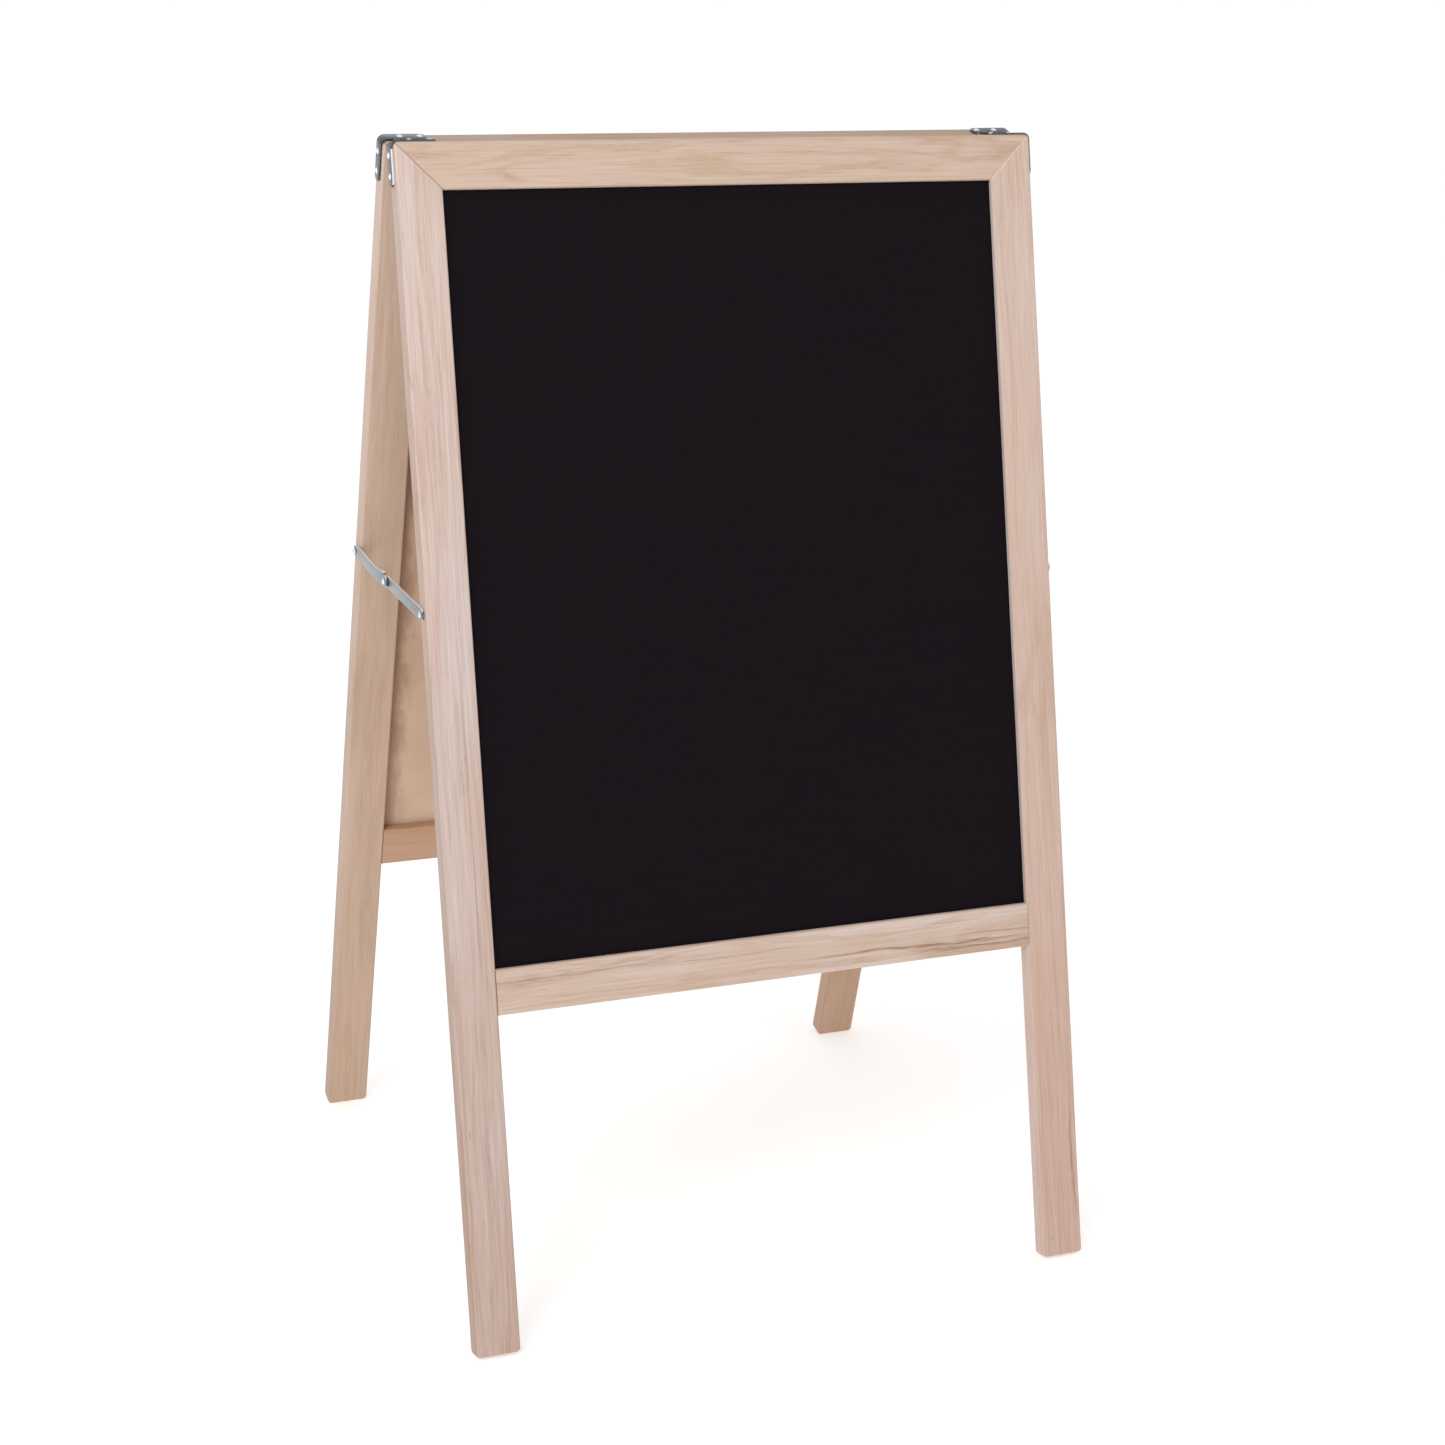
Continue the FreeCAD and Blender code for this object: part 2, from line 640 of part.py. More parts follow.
def make_pin(label, side):
    """The hinge pin, peened over at both ends of the barrel."""
    barrel = "(3 * dims.knuckle_length + 2 * dims.knuckle_gap)"
    start = number(low_end(side, "dims.knuckle_first", barrel)) - SIZE["pin_play"]
    length = f"{barrel} + 2 * dims.pin_play"
    head = SIZE["pin_head_thick"]
    shaft = primitive("Cylinder", label + "_shaft", along_x(start, 0, 0),
                      Radius="dims.pin_radius", Height=length)
    heads = [primitive("Cylinder", f"{label}_head{index}", along_x(x, 0, 0),
                       Radius="dims.pin_head_radius", Height="dims.pin_head_thick")
             for index, x in enumerate((start - head, start + number(length)))]
    return combined("MultiFuse", label, [shaft] + heads)


# ------------------------------------------------------------------- braces

def make_link(label, side, reach, joggled):
    """A brace bar. Its stile pivot is at the origin and its rivet is reach away along Y.

    The bar on the rear frame steps outwards so that its far half passes over the other bar.
    """
    body = new_body(label)
    near = "dims.link_gap"
    far = f"({near} + dims.link_thick)"
    step = "(dims.link_thick + dims.link_shear_gap)" if joggled else "0"
    toward = "-1" if joggled else "1"
    length = f"{abs(reach):.6f}"
    tail = "-dims.link_width / 2"
    nose = f"({length} + dims.link_width / 2)"

    def at(x, distance):
        return times(side, x), f"{toward} * ({distance})"

    if joggled:
        step_end = f"({length} - dims.joggle_start - dims.joggle_run)"
        step_start = f"({length} - dims.joggle_start)"
        corners = [at(near, tail), at(near, step_end), at(f"{near} + {step}", step_start),
                   at(f"{near} + {step}", nose), at(f"{far} + {step}", nose),
                   at(f"{far} + {step}", step_start), at(far, step_end), at(far, tail)]
    else:
        corners = [at(near, tail), at(near, nose), at(far, nose), at(far, tail)]
    strip = new_sketch(body, "strip", "XY_Plane", "-dims.link_width / 2")
    add_outline(strip, corners)
    pad(body, strip, "dims.link_width")

    ends = [abs(number(tail)), abs(number(nose))]
    round_edges(body, "(dims.link_width - dims.link_nose_flat) / 2",
                lambda edge: abs(edge.Length - SIZE["link_thick"]) < NEAR
                and any(abs(abs(edge.CenterOfMass.y) - end) < NEAR for end in ends))
    if joggled:
        lug = new_sketch(body, "lug", "XY_Plane", "dims.link_width / 2 - dims.overlap")
        lug_end = f"({length} - dims.lug_start)"
        add_outline(lug, [at(f"{near} + {step}", f"{lug_end} - dims.lug_length"),
                          at(f"{near} + {step}", lug_end), at(f"{far} + {step}", lug_end),
                          at(f"{far} + {step}", f"{lug_end} - dims.lug_length")])
        pad(body, lug, "dims.lug_height + dims.overlap")
        lug_top = number("dims.link_width / 2 + dims.lug_height")
        round_edges(body, "dims.lug_round",
                    lambda edge: abs(edge.CenterOfMass.z - lug_top) < NEAR
                    and abs(edge.Length - SIZE["link_thick"]) < NEAR)
    holes = new_sketch(body, "holes", "YZ_Plane", times(side, f"{far} + {step} + dims.overcut"))
    for distance in ("0", length):
        add_circle(holes, f"{toward} * ({distance})", "0", "dims.pivot_radius + dims.hole_slack")
    pocket(body, holes, f"dims.link_thick + {step} + 2 * dims.overcut",
           along_normal=side == LEFT)
    return body


# ----------------------------------------------------------------- assembly

spread = math.radians(SIZE["half_spread"])
hang = SIZE["pin_height"] + SIZE["board_length"]
foot_rise = SIZE["edge_round"] * (math.cos(spread) + math.sin(spread) - 1)
pin_z = hang * math.cos(spread) - SIZE["fold_gap"] * math.sin(spread) - foot_rise

pivot_back = number(WOOD_MIDDLE)
pivot_down = SIZE["pin_height"] + SIZE["brace_drop"]
brace_y = pivot_back * math.cos(spread) + pivot_down * math.sin(spread)
brace_z = pin_z - pivot_down * math.cos(spread) + pivot_back * math.sin(spread)
closed_lean = math.acos(pivot_back / brace_y)
link_fold = math.degrees(closed_lean) - SIZE["half_spread"]

FRONT_PLACE = Placement(Vector(0, 0, pin_z), Rotation(Vector(1, 0, 0), -SIZE["half_spread"]))
REAR_PLACE = Placement(Vector(0, 0, pin_z),
                       Rotation(Vector(1, 0, 0), SIZE["half_spread"])
                       * Rotation(Vector(0, 0, 1), 180))
PIN_PLACE = Placement(Vector(0, 0, pin_z), Rotation())

nodes = []


def keep(item, place):
    """Give a finished piece its place in the open sign."""
    item.Placement = place
    nodes.append(item)


def make_frame(name, place, turned):
    """All the pieces of one frame. The rear frame is turned, so its sides swap."""
    for side_name, side in SIDES.items():
        drawn = -side if turned else side
        keep(make_stile(f"{name}_{side_name}_stile", drawn), place)
        knuckles = (1,) if turned else (0, 2)
        keep(make_leaf(f"{side_name}_{name}_leaf", drawn, knuckles), place)
        keep(make_leaf_screws(f"{side_name}_{name}_leaf_screws", drawn), place)
    keep(make_top_rail(f"{name}_top_rail"), place)
    keep(make_bottom_rail(f"{name}_bottom_rail"), place)
    keep(make_panel(f"{name}_board", "(dims.board_recess + dims.coat_thick)",
                    "dims.board_thick"), place)
    keep(make_panel(f"{name}_chalk_coat", "dims.board_recess", "dims.coat_thick"), place)
    keep(make_dowels(f"{name}_rail_dowels"), place)
    keep(make_nails(f"{name}_mitre_nails"), place)


def make_brace(side_name, side):
    """The two bars of one side's brace, straight and level in the open sign."""
    seat = SIZE["board_width"] / 2
    bar_face = number("dims.link_gap + dims.link_thick")
    over = bar_face + number("dims.link_thick + dims.link_shear_gap")
    for name, y in (("front", -brace_y), ("rear", brace_y)):
        joggled = name == "rear"
        link = make_link(f"{side_name}_{name}_link", side, brace_y, joggled)
        keep(link, Placement(Vector(side * seat, y, brace_z), Rotation()))
        screw = make_fastener(f"{side_name}_{name}_pivot_screw", "dims.pivot_radius",
                              "dims.pivot_length", "dims.pivot_head_radius",
                              "dims.pivot_head_height", driven=True)
        head_x = side * (seat + bar_face + SIZE["head_gap"])
        keep(screw, towards(Vector(side, 0, 0), Vector(head_x, y, brace_z)))
    rivet = make_fastener(f"{side_name}_brace_rivet", "dims.pivot_radius",
                          "dims.link_thick + dims.link_shear_gap / 2", "dims.pivot_head_radius",
                          "dims.pivot_head_height", driven=False)
    keep(rivet, towards(Vector(side, 0, 0), Vector(side * (seat + over), 0, brace_z)))


def check_and_export():
    doc.recompute()
    for item in doc.Objects:
        if "Invalid" in item.State or "Error" in item.State:
            raise RuntimeError(f"{item.Name} failed: {item.State}")
    os.makedirs("parts", exist_ok=True)
    for node in nodes:
        if node.Shape.isNull() or not node.Shape.isValid():
            raise RuntimeError(f"{node.Label} has no valid shape")
        node.Shape.exportStep(f"parts/{node.Label}.step")
    print(len(nodes), "pieces")
    print(f"pin axis z {pin_z:.4f}, brace pivots y {brace_y:.4f} z {brace_z:.4f}")
    print(f"fold {2 * SIZE['half_spread']:.4f} deg, links {link_fold:.4f} deg")


make_frame("front", FRONT_PLACE, turned=False)
make_frame("rear", REAR_PLACE, turned=True)
for side_name, side in SIDES.items():
    keep(make_pin(f"{side_name}_hinge_pin", side), PIN_PLACE)
    make_brace(side_name, side)
check_and_export()
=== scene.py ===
"""Looks for the folding A-frame chalkboard sign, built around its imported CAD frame.

Units are metres. The sign stands open on z = 0, and its front board faces -Y.
Timber and hinge straps are drawn folded and upright, with the hinge pin's axis as the X
axis, and OPEN then swings each frame out to where it stands.
"""

import json
import math

import bmesh
import bpy
from mathutils import Matrix, Vector, noise


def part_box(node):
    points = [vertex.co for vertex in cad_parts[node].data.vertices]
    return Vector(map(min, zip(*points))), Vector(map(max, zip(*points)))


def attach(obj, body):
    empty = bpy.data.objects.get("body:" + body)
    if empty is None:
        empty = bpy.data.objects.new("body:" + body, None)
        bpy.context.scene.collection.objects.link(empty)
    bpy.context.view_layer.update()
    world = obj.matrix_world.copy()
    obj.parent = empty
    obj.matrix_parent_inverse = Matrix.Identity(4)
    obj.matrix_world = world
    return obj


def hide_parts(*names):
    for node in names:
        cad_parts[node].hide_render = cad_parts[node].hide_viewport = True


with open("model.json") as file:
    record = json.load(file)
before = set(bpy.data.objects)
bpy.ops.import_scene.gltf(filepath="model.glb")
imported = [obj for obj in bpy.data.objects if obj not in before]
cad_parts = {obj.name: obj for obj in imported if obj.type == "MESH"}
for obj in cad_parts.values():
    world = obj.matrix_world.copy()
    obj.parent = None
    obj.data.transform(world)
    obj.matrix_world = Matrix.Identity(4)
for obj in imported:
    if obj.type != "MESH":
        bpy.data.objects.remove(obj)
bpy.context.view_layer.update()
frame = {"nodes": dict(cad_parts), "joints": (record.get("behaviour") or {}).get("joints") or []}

# Blender seeds this noise from the clock. A set seed gives the same timber at every run.
noise.seed_set(1)

MM = 0.001
SAME = 1e-6
LEFT, RIGHT = -1, 1
SIDES = {"left": LEFT, "right": RIGHT}

# ------------------------------------------------------------ sizes from the frame

JOINTS = {joint["name"]: joint for joint in frame["joints"]}
PIN = Vector(JOINTS["top_fold"]["pos_m"])
SPREAD = -math.radians(JOINTS["top_fold"]["range_deg"][0]) / 2
BRACE = {name: Vector(joint["pos_m"]) for name, joint in JOINTS.items() if "brace" in name}
BRACE_REACH = abs(BRACE["left_rear_brace_pivot"].y)

# The timber, as it is sawn and eased.
TIMBER_WIDE = 41.3 * MM
TIMBER_THICK = 19 * MM
FRAME_LONG = 1066.8 * MM
RAIL_DROP = 721 * MM
EASING = 2.5 * MM
CORNER_ROUND = 5 * MM
FOOT_ROUND = 4 * MM
JOINT_CHAMFER = 0.3 * MM
UNEVENNESS = 0.12 * MM
FOLD_GAP = 6 * MM
PIN_OVER = 3 * MM

# The hinges.
STRAP_THICK = 2 * MM
STRAP_WIDE = 12.5 * MM
STRAP_TOP_ARM = 40 * MM
STRAP_SIDE_ARM = 37.5 * MM
STRAP_BEND = 4 * MM
STRAP_EDGE = 9 * MM
STRAP_ROUND = 5.5 * MM
TOP_SCREWS = (16.5 * MM, 34.5 * MM)
SIDE_SCREWS = (10.8 * MM, 28.6 * MM)
KNUCKLE_START = 8 * MM
KNUCKLE_LONG = 10.5 * MM
KNUCKLE_PITCH = 10.75 * MM
KNUCKLE_RADIUS = 3 * MM
KNUCKLE_BORE = 1.55 * MM
PIN_RADIUS = 1.5 * MM
PIN_HEAD = 2.3 * MM
PIN_PEEN = 0.6 * MM

# The braces.
BAR_WIDE = 11 * MM
BAR_THICK = 2 * MM
BAR_GAP = 0.3 * MM
BAR_STEP = 2.2 * MM
JOGGLE_FROM = 54 * MM
JOGGLE_RUN = 36 * MM
TAB_START = 3 * MM
TAB_LONG = 13 * MM
TAB_RISE = 1.7 * MM
TAB_LIP = 1.1 * MM
TAB_EDGE = 0.2 * MM

# Small edges, and how finely round things are divided.
SHEET_EDGE = 0.25 * MM
SHARP_ANGLE = math.radians(40)
SMOOTH_ANGLE = math.radians(32)
HEAD_SIDES = 28
DOME_RINGS = 9
PIN_SIDES = 24
SHANK_SIDES = 20
RING_EVERY = 30 * MM

TOP = -PIN_OVER
FOOT = TOP - FRAME_LONG
INNER_X = max(abs(corner.x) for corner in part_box("front_bottom_rail"))
HALF_WIDTH = INNER_X + TIMBER_WIDE
TIMBER_BACK = -FOLD_GAP
TIMBER_FACE = -FOLD_GAP - TIMBER_THICK

AT_PIN = Matrix.Translation(PIN)
OPEN = {
    "front": AT_PIN @ Matrix.Rotation(-SPREAD, 4, "X"),
    "rear": AT_PIN @ Matrix.Rotation(SPREAD, 4, "X") @ Matrix.Rotation(math.pi, 4, "Z"),
}


# ------------------------------------------------------------------------ camera

CAMERA_PLACE = (-0.9223, -2.3146, 1.3009)
CAMERA_TURN, CAMERA_TIP, CAMERA_ROLL = (math.radians(angle) for angle in
                                        (22.275, 18.172, 1.873))
SENSOR_WIDTH, FOCAL_LENGTH = 36, 67.79


def make_camera():
    """Standing to the left of the sign and a little above it, looking slightly down."""
    data = bpy.data.cameras.new("camera")
    data.sensor_width = SENSOR_WIDTH
    data.lens = FOCAL_LENGTH
    camera = bpy.data.objects.new("camera", data)
    bpy.context.scene.collection.objects.link(camera)
    camera.matrix_world = (Matrix.Translation(CAMERA_PLACE)
                           @ Matrix.Rotation(-CAMERA_TURN, 4, "Z")
                           @ Matrix.Rotation(math.pi / 2 - CAMERA_TIP, 4, "X")
                           @ Matrix.Rotation(CAMERA_ROLL, 4, "Z"))
    bpy.context.scene.camera = camera


make_camera()


# ---------------------------------------------------------------- shader helpers

class Shader:
    """A material whose nodes are added by short calls that return output sockets."""

    def __init__(self, name):
        self.material = bpy.data.materials.new(name)
        self.material.use_nodes = True
        self.tree = self.material.node_tree
        self.surface = self.tree.nodes["Principled BSDF"]

    def add(self, kind, output=0, **inputs):
        node = self.tree.nodes.new("ShaderNode" + kind)
        for key, value in inputs.items():
            self.feed(node.inputs[key.replace("_", " ")], value)
        return node.outputs[output]

    def feed(self, socket, value):
        if isinstance(value, bpy.types.NodeSocket):
            self.tree.links.new(value, socket)
        else:
            socket.default_value = value

    def set(self, **inputs):
        for key, value in inputs.items():
            self.feed(self.surface.inputs[key.replace("_", " ")], value)

    def math(self, operation, first, second=0.0):
        node = self.tree.nodes.new("ShaderNodeMath")
        node.operation = operation
        self.feed(node.inputs[0], first)
        self.feed(node.inputs[1], second)
        return node.outputs[0]

    def between(self, value, low, high, to_low=0.0, to_high=1.0, smooth=True):
        """value carried from low..high to to_low..to_high, and held at both ends."""
        node = self.tree.nodes.new("ShaderNodeMapRange")
        node.interpolation_type = "SMOOTHSTEP" if smooth else "LINEAR"
        for socket, number in zip(node.inputs, (value, low, high, to_low, to_high)):
            self.feed(socket, number)
        return node.outputs[0]

    def mix(self, factor, first, second, blend="MIX"):
        node = self.tree.nodes.new("ShaderNodeMix")
        node.data_type = "RGBA"
        node.blend_type = blend
        self.feed(node.inputs["Factor"], factor)
        self.feed(node.inputs[6], first)
        self.feed(node.inputs[7], second)
        return node.outputs[2]

    def noise(self, place, detail, rough, distortion=0.0):
        return self.add("TexNoise", 0, Vector=place, Scale=1.0, Detail=detail,
                        Roughness=rough, Distortion=distortion)

    def normal(self, axis):
        """How far the surface faces along one of the object's own axes, either way."""
        return self.math("ABSOLUTE", self.add("SeparateXYZ", "XYZ".index(axis),
                                              Vector=self.add("TexCoord", 1)))

    def stretched(self, place, scale, shift=(0, 0, 0)):
        """Coordinates in millimetres, scaled separately on each axis."""
        node = self.tree.nodes.new("ShaderNodeMapping")
        self.feed(node.inputs["Vector"], place)
        node.inputs["Location"].default_value = shift
        node.inputs["Scale"].default_value = [number / MM for number in scale]
        return node.outputs[0]

    def bump(self, height, strength, distance):
        return self.add("Bump", 0, Height=height, Strength=strength, Distance=distance)


def colour(shade):
    """An sRGB colour from 0 to 255, as a linear colour."""
    def linear(value):
        value /= 255
        return value / 12.92 if value <= 0.04045 else ((value + 0.055) / 1.055) ** 2.4
    return (*(linear(channel) for channel in shade), 1)


# --------------------------------------------------------------------- materials

# The spacing of the growth rings, in millimetres, as the shaders measure it.
RING_SPACING = 3.4

# Wood colours. The first five rows are the general tones of the pieces.
PINK, BLUSH = (218, 206, 203), (212, 190, 180)
TAN, SAND, STRAW = (209, 185, 170), (202, 174, 154), (205, 184, 164)
SHELL, FAWN = (213, 196, 186), (202, 176, 158)
CREAM, TAUPE, CLAY = (216, 194, 178), (186, 166, 152), (178, 154, 136)
TEAK, WALNUT = (190, 154, 128), (180, 142, 114)
HONEY, SMOKE, RUST = (196, 166, 143), (180, 146, 120), (160, 98, 74)
UMBER, GREY_MARK = (128, 88, 60), (140, 118, 106)
ROSY_BAND, EARLY_WOOD, PORE = (206, 166, 150), (182, 140, 104), (122, 84, 56)
DARK_FIBRE, PALE_FIBRE, FIGURE = (176, 136, 108), (236, 220, 208), (168, 128, 100)
# The second colour below is a painted highlight: the lit line along a mitre.
GLUE_LINE, MITRE_HIGHLIGHT = (164, 128, 106), (234, 214, 206)
BEECH_PALE, BEECH_FLECK = (224, 196, 160), (186, 148, 110)

# Board colours: the chalk coating, then the bare hardboard and the painted shade in its recess.
BLACK, WORN_BLACK, CHALK_HAZE = (20, 15, 20), (23, 18, 23), (32, 28, 32)
BOARD_TAN, BOARD_PALE, RECESS_SHADE = (194, 166, 142), (208, 182, 160), (126, 80, 54)
DARK_FLECK, PALE_FLECK = (162, 128, 100), (222, 200, 180)

# Metal colours.
BAR_GREY, STRAP_GREY = (128, 134, 140), (92, 96, 102)
HEAD_WHITE, PIN_GREY = (232, 235, 240), (165, 166, 170)
# The last two below are painted light: a highlight for lit edges and shade for head rims.
SCUFFED, EDGE_HIGHLIGHT, RIM_SHADE = (128, 132, 138), (238, 240, 244), (62, 66, 72)


def oak(name, along, seed, pale, deep, pith=(55, 70), contrast=1.0, shade_to_foot=(1, 1, 1),
        edge=(1, 1, 1), streaks=(), mitre=None):
    """Unfinished oak. along is the grain's axis, and pith the ring centre in millimetres.

    shade_to_foot is painted shade: the tint a stile is multiplied by, more and more from its
    top down to its lower end. edge is painted light and shade on its sawn sides, the tint
    they are multiplied by. mitre is the two colours of the line where the piece meets its
    neighbour at the top corners; the second is a painted highlight on the front frame.

    Each streak is (along, across, half length, half width, colour, strength), in
    millimetres from the piece's own origin.
    """
    shader = Shader(name)
    place = shader.add("TexCoord", 3)
    split = shader.add("SeparateXYZ", 0, Vector=place).node
    axes = {"Z": ("X", "Y", "Z"), "X": ("Z", "Y", "X")}[along]
    grain = shader.add("CombineXYZ", 0, X=split.outputs[axes[0]], Y=split.outputs[axes[1]],
                       Z=split.outputs[axes[2]])
    shift = (seed * 7.31, seed * 3.17, seed * 11.7)

    # Growth rings: distance from a pith that wanders along the board.
    wander = shader.noise(shader.stretched(grain, (0.012, 0.012, 0.0032), shift), 3, 0.5)
    flat = shader.add("SeparateXYZ", 0, Vector=shader.stretched(grain, (1, 1, 1))).node
    sway = shader.between(wander, 0, 1, -22, 22, smooth=False)
    off_x = shader.math("ADD", shader.math("ADD", flat.outputs[0], pith[0]), sway)
    off_y = shader.math("ADD", shader.math("ADD", flat.outputs[1], pith[1]),
                        shader.math("MULTIPLY", sway, 0.7))
    radius = shader.math("SQRT", shader.math(
        "ADD", shader.math("MULTIPLY", off_x, off_x), shader.math("MULTIPLY", off_y, off_y)))
    ripple = shader.noise(shader.stretched(grain, (0.09, 0.09, 0.006), shift), 3, 0.6)
    rings = shader.math("ADD", shader.math("DIVIDE", radius, RING_SPACING),
                        shader.between(ripple, 0, 1, -1.1, 1.1, smooth=False))
    aging = shader.math("MULTIPLY", flat.outputs[2], 0.006)
    bands = shader.noise(shader.add("CombineXYZ", 0, X=rings, Y=seed * 2.3, Z=aging),
                         3, 0.62)
    early = shader.between(bands, 0.44, 0.68)

    # Pores: short dark dashes, thick in the early wood and sparse elsewhere.
    dashes = shader.noise(shader.stretched(grain, (2.6, 2.6, 0.075), shift), 2, 0.6)
    pore = shader.math("MULTIPLY", shader.between(dashes, 0.56, 0.72),
                       shader.between(early, 0, 1, 0.18, 1))
    fibre = shader.noise(shader.stretched(grain, (1.5, 1.5, 0.016), shift), 5, 0.72)
    figure = shader.noise(shader.stretched(grain, (0.55, 0.55, 0.009), shift), 3, 0.6)

    tone = shader.noise(shader.stretched(grain, (0.030, 0.030, 0.0045), shift), 3, 0.55)
    base = shader.mix(shader.between(tone, 0.30, 0.72), colour(pale), colour(deep))
    blush = shader.noise(shader.stretched(grain, (0.10, 0.10, 0.008), shift), 2, 0.5)
    for amount, shade in (
            (shader.between(blush, 0.42, 0.75, 0, 0.22 * contrast), ROSY_BAND),
            (shader.between(early, 0, 1, 0, 0.26 * contrast), EARLY_WOOD),
            (shader.between(fibre, 0.32, 0.62, 0.30 * contrast, 0), DARK_FIBRE),
            (shader.between(fibre, 0.50, 0.78, 0, 0.30 * contrast), PALE_FIBRE),
            (shader.between(figure, 0.34, 0.50, 0.22 * contrast, 0), FIGURE),
            (shader.math("MULTIPLY", pore, 0.42 * contrast), PORE)):
        base = shader.mix(amount, base, colour(shade))

    # Painted shade: the stiles are drawn darker towards their lower ends.
    painted_foot_shade = shader.between(flat.outputs[2], -150, -1000, smooth=False)
    base = shader.mix(painted_foot_shade, base, (*shade_to_foot, 1), "MULTIPLY")
    # Painted light and shade: the sawn sides, facing along X, are tinted lighter or darker than
    # the face.
    base = shader.mix(shader.between(shader.normal("X"), 0.5, 0.85), base, (*edge, 1),
                      "MULTIPLY")
    for mark in streaks:
        base = add_streak(shader, grain, base, mark, seed)
    if mitre:
        base = add_mitre_line(shader, place, base, mitre)

    height = shader.math("SUBTRACT", shader.math("MULTIPLY", fibre, 0.35),
                         shader.math("MULTIPLY", pore, 0.65))
    shader.set(Base_Color=base, Roughness=shader.between(fibre, 0.2, 0.8, 0.52, 0.68),
               Normal=shader.bump(height, 0.35, 0.25 * MM))
    shader.surface.inputs["Specular IOR Level"].default_value = 0.32
    return shader.material


def add_streak(shader, grain, base, mark, seed):
    """A soft-ended darker mark that follows the grain."""
    along, across, half_long, half_wide, tint, strength = mark
    bend = shader.noise(shader.stretched(grain, (0.05, 0.05, 0.012), (seed, 0, 0)), 2, 0.5)
    flat = shader.add("SeparateXYZ", 0, Vector=shader.stretched(grain, (1, 1, 1))).node
    drift = shader.between(bend, 0, 1, -3 * half_wide, 3 * half_wide, smooth=False)
    offset = shader.math("SUBTRACT", shader.math("ADD", flat.outputs[0], drift), across)
    side = shader.between(shader.math("ABSOLUTE", offset), half_wide, 0)
    reach = shader.math("ABSOLUTE", shader.math("SUBTRACT", flat.outputs[2], along))
    ends = shader.between(reach, half_long, half_long * 0.35)
    broken = shader.between(shader.noise(
        shader.stretched(grain, (1.2, 1.2, 0.04), (0, seed, 0)), 2, 0.5), 0.25, 0.6)
    amount = shader.math("MULTIPLY", shader.math("MULTIPLY", side, ends),
                         shader.math("MULTIPLY", broken, strength))
    return shader.mix(amount, base, colour(tint))


def add_mitre_line(shader, place, base, tints):
    """The hairline of a mitre, in one colour at the -X corner and another at the +X one, which
    on the front frame is a painted highlight.
    """
    spot = shader.add("SeparateXYZ", 0, Vector=shader.stretched(place, (1, 1, 1))).node
    offset = shader.math("SUBTRACT", shader.math("ABSOLUTE", spot.outputs[0]), spot.outputs[2])
    away = shader.math("ABSOLUTE", shader.math(
        "SUBTRACT", offset, (HALF_WIDTH - TOP) / MM))
    is_right = shader.math("GREATER_THAN", spot.outputs[0], 0)
    tint = shader.mix(is_right, colour(tints[0]), colour(tints[1]))
    return shader.mix(shader.between(away, 1.3, 0.4, 0, 0.62), base, tint)


def chalkboard():
    """Matt black coating with a fine tooth and the faintest wiped-chalk clouding."""
    shader = Shader("chalkboard")
    place = shader.add("TexCoord", 3)
    cloud = shader.noise(shader.stretched(place, (0.006, 0.006, 0.010)), 5, 0.6, 0.6)
    wipe = shader.noise(shader.stretched(place, (0.012, 0.012, 0.16)), 4, 0.6)
    tooth = shader.noise(shader.stretched(place, (3.5, 3.5, 3.5)), 3, 0.6)
    base = shader.mix(shader.between(cloud, 0.35, 0.75, 0, 0.5), colour(BLACK),
                      colour(WORN_BLACK))
    base = shader.mix(shader.between(wipe, 0.52, 0.80, 0, 0.16), base, colour(CHALK_HAZE))
    shader.set(Base_Color=base, Roughness=shader.between(cloud, 0.3, 0.7, 0.74, 0.86),
               Normal=shader.bump(tooth, 0.18, 0.08 * MM))
    shader.surface.inputs["Specular IOR Level"].default_value = 0.06
    return shader.material


def hardboard():
    """Pressed board: tan and flecked with short fibres, with painted shade darkening it in along
    the frame.
    """
    shader = Shader("hardboard")
    place = shader.add("TexCoord", 3)
    cloud = shader.noise(shader.stretched(place, (0.012, 0.012, 0.012)), 4, 0.55)
    fleck = shader.noise(shader.stretched(place, (0.9, 0.9, 0.9)), 4, 0.7, 1.2)
    grit = shader.noise(shader.stretched(place, (3.2, 3.2, 3.2)), 2, 0.6)
    base = shader.mix(shader.between(cloud, 0.3, 0.7), colour(BOARD_TAN), colour(BOARD_PALE))
    base = shader.mix(shader.between(fleck, 0.55, 0.72, 0, 0.42), base, colour(DARK_FLECK))
    base = shader.mix(shader.between(fleck, 0.42, 0.28, 0, 0.45), base, colour(PALE_FLECK))
    # Painted shade: a warm dark tone laid on the board near both stiles, where the frame's
    # recess shades it.
    spot = shader.add("SeparateXYZ", 0, Vector=shader.stretched(place, (1, 1, 1))).node
    from_side = shader.math("SUBTRACT", INNER_X / MM, shader.math("ABSOLUTE", spot.outputs[0]))
    shade_wobble = shader.noise(shader.stretched(place, (0.05, 0.05, 0.02)), 3, 0.6)
    reach = shader.between(shade_wobble, 0.3, 0.7, 14, 34)
    painted_recess_shade = shader.between(shader.math("DIVIDE", from_side, reach), 0, 1, 0.66, 0)
    base = shader.mix(painted_recess_shade, base, colour(RECESS_SHADE))
    shader.set(Base_Color=base, Roughness=shader.between(grit, 0.3, 0.7, 0.55, 0.75),
               Normal=shader.bump(grit, 0.22, 0.12 * MM))
    return shader.material


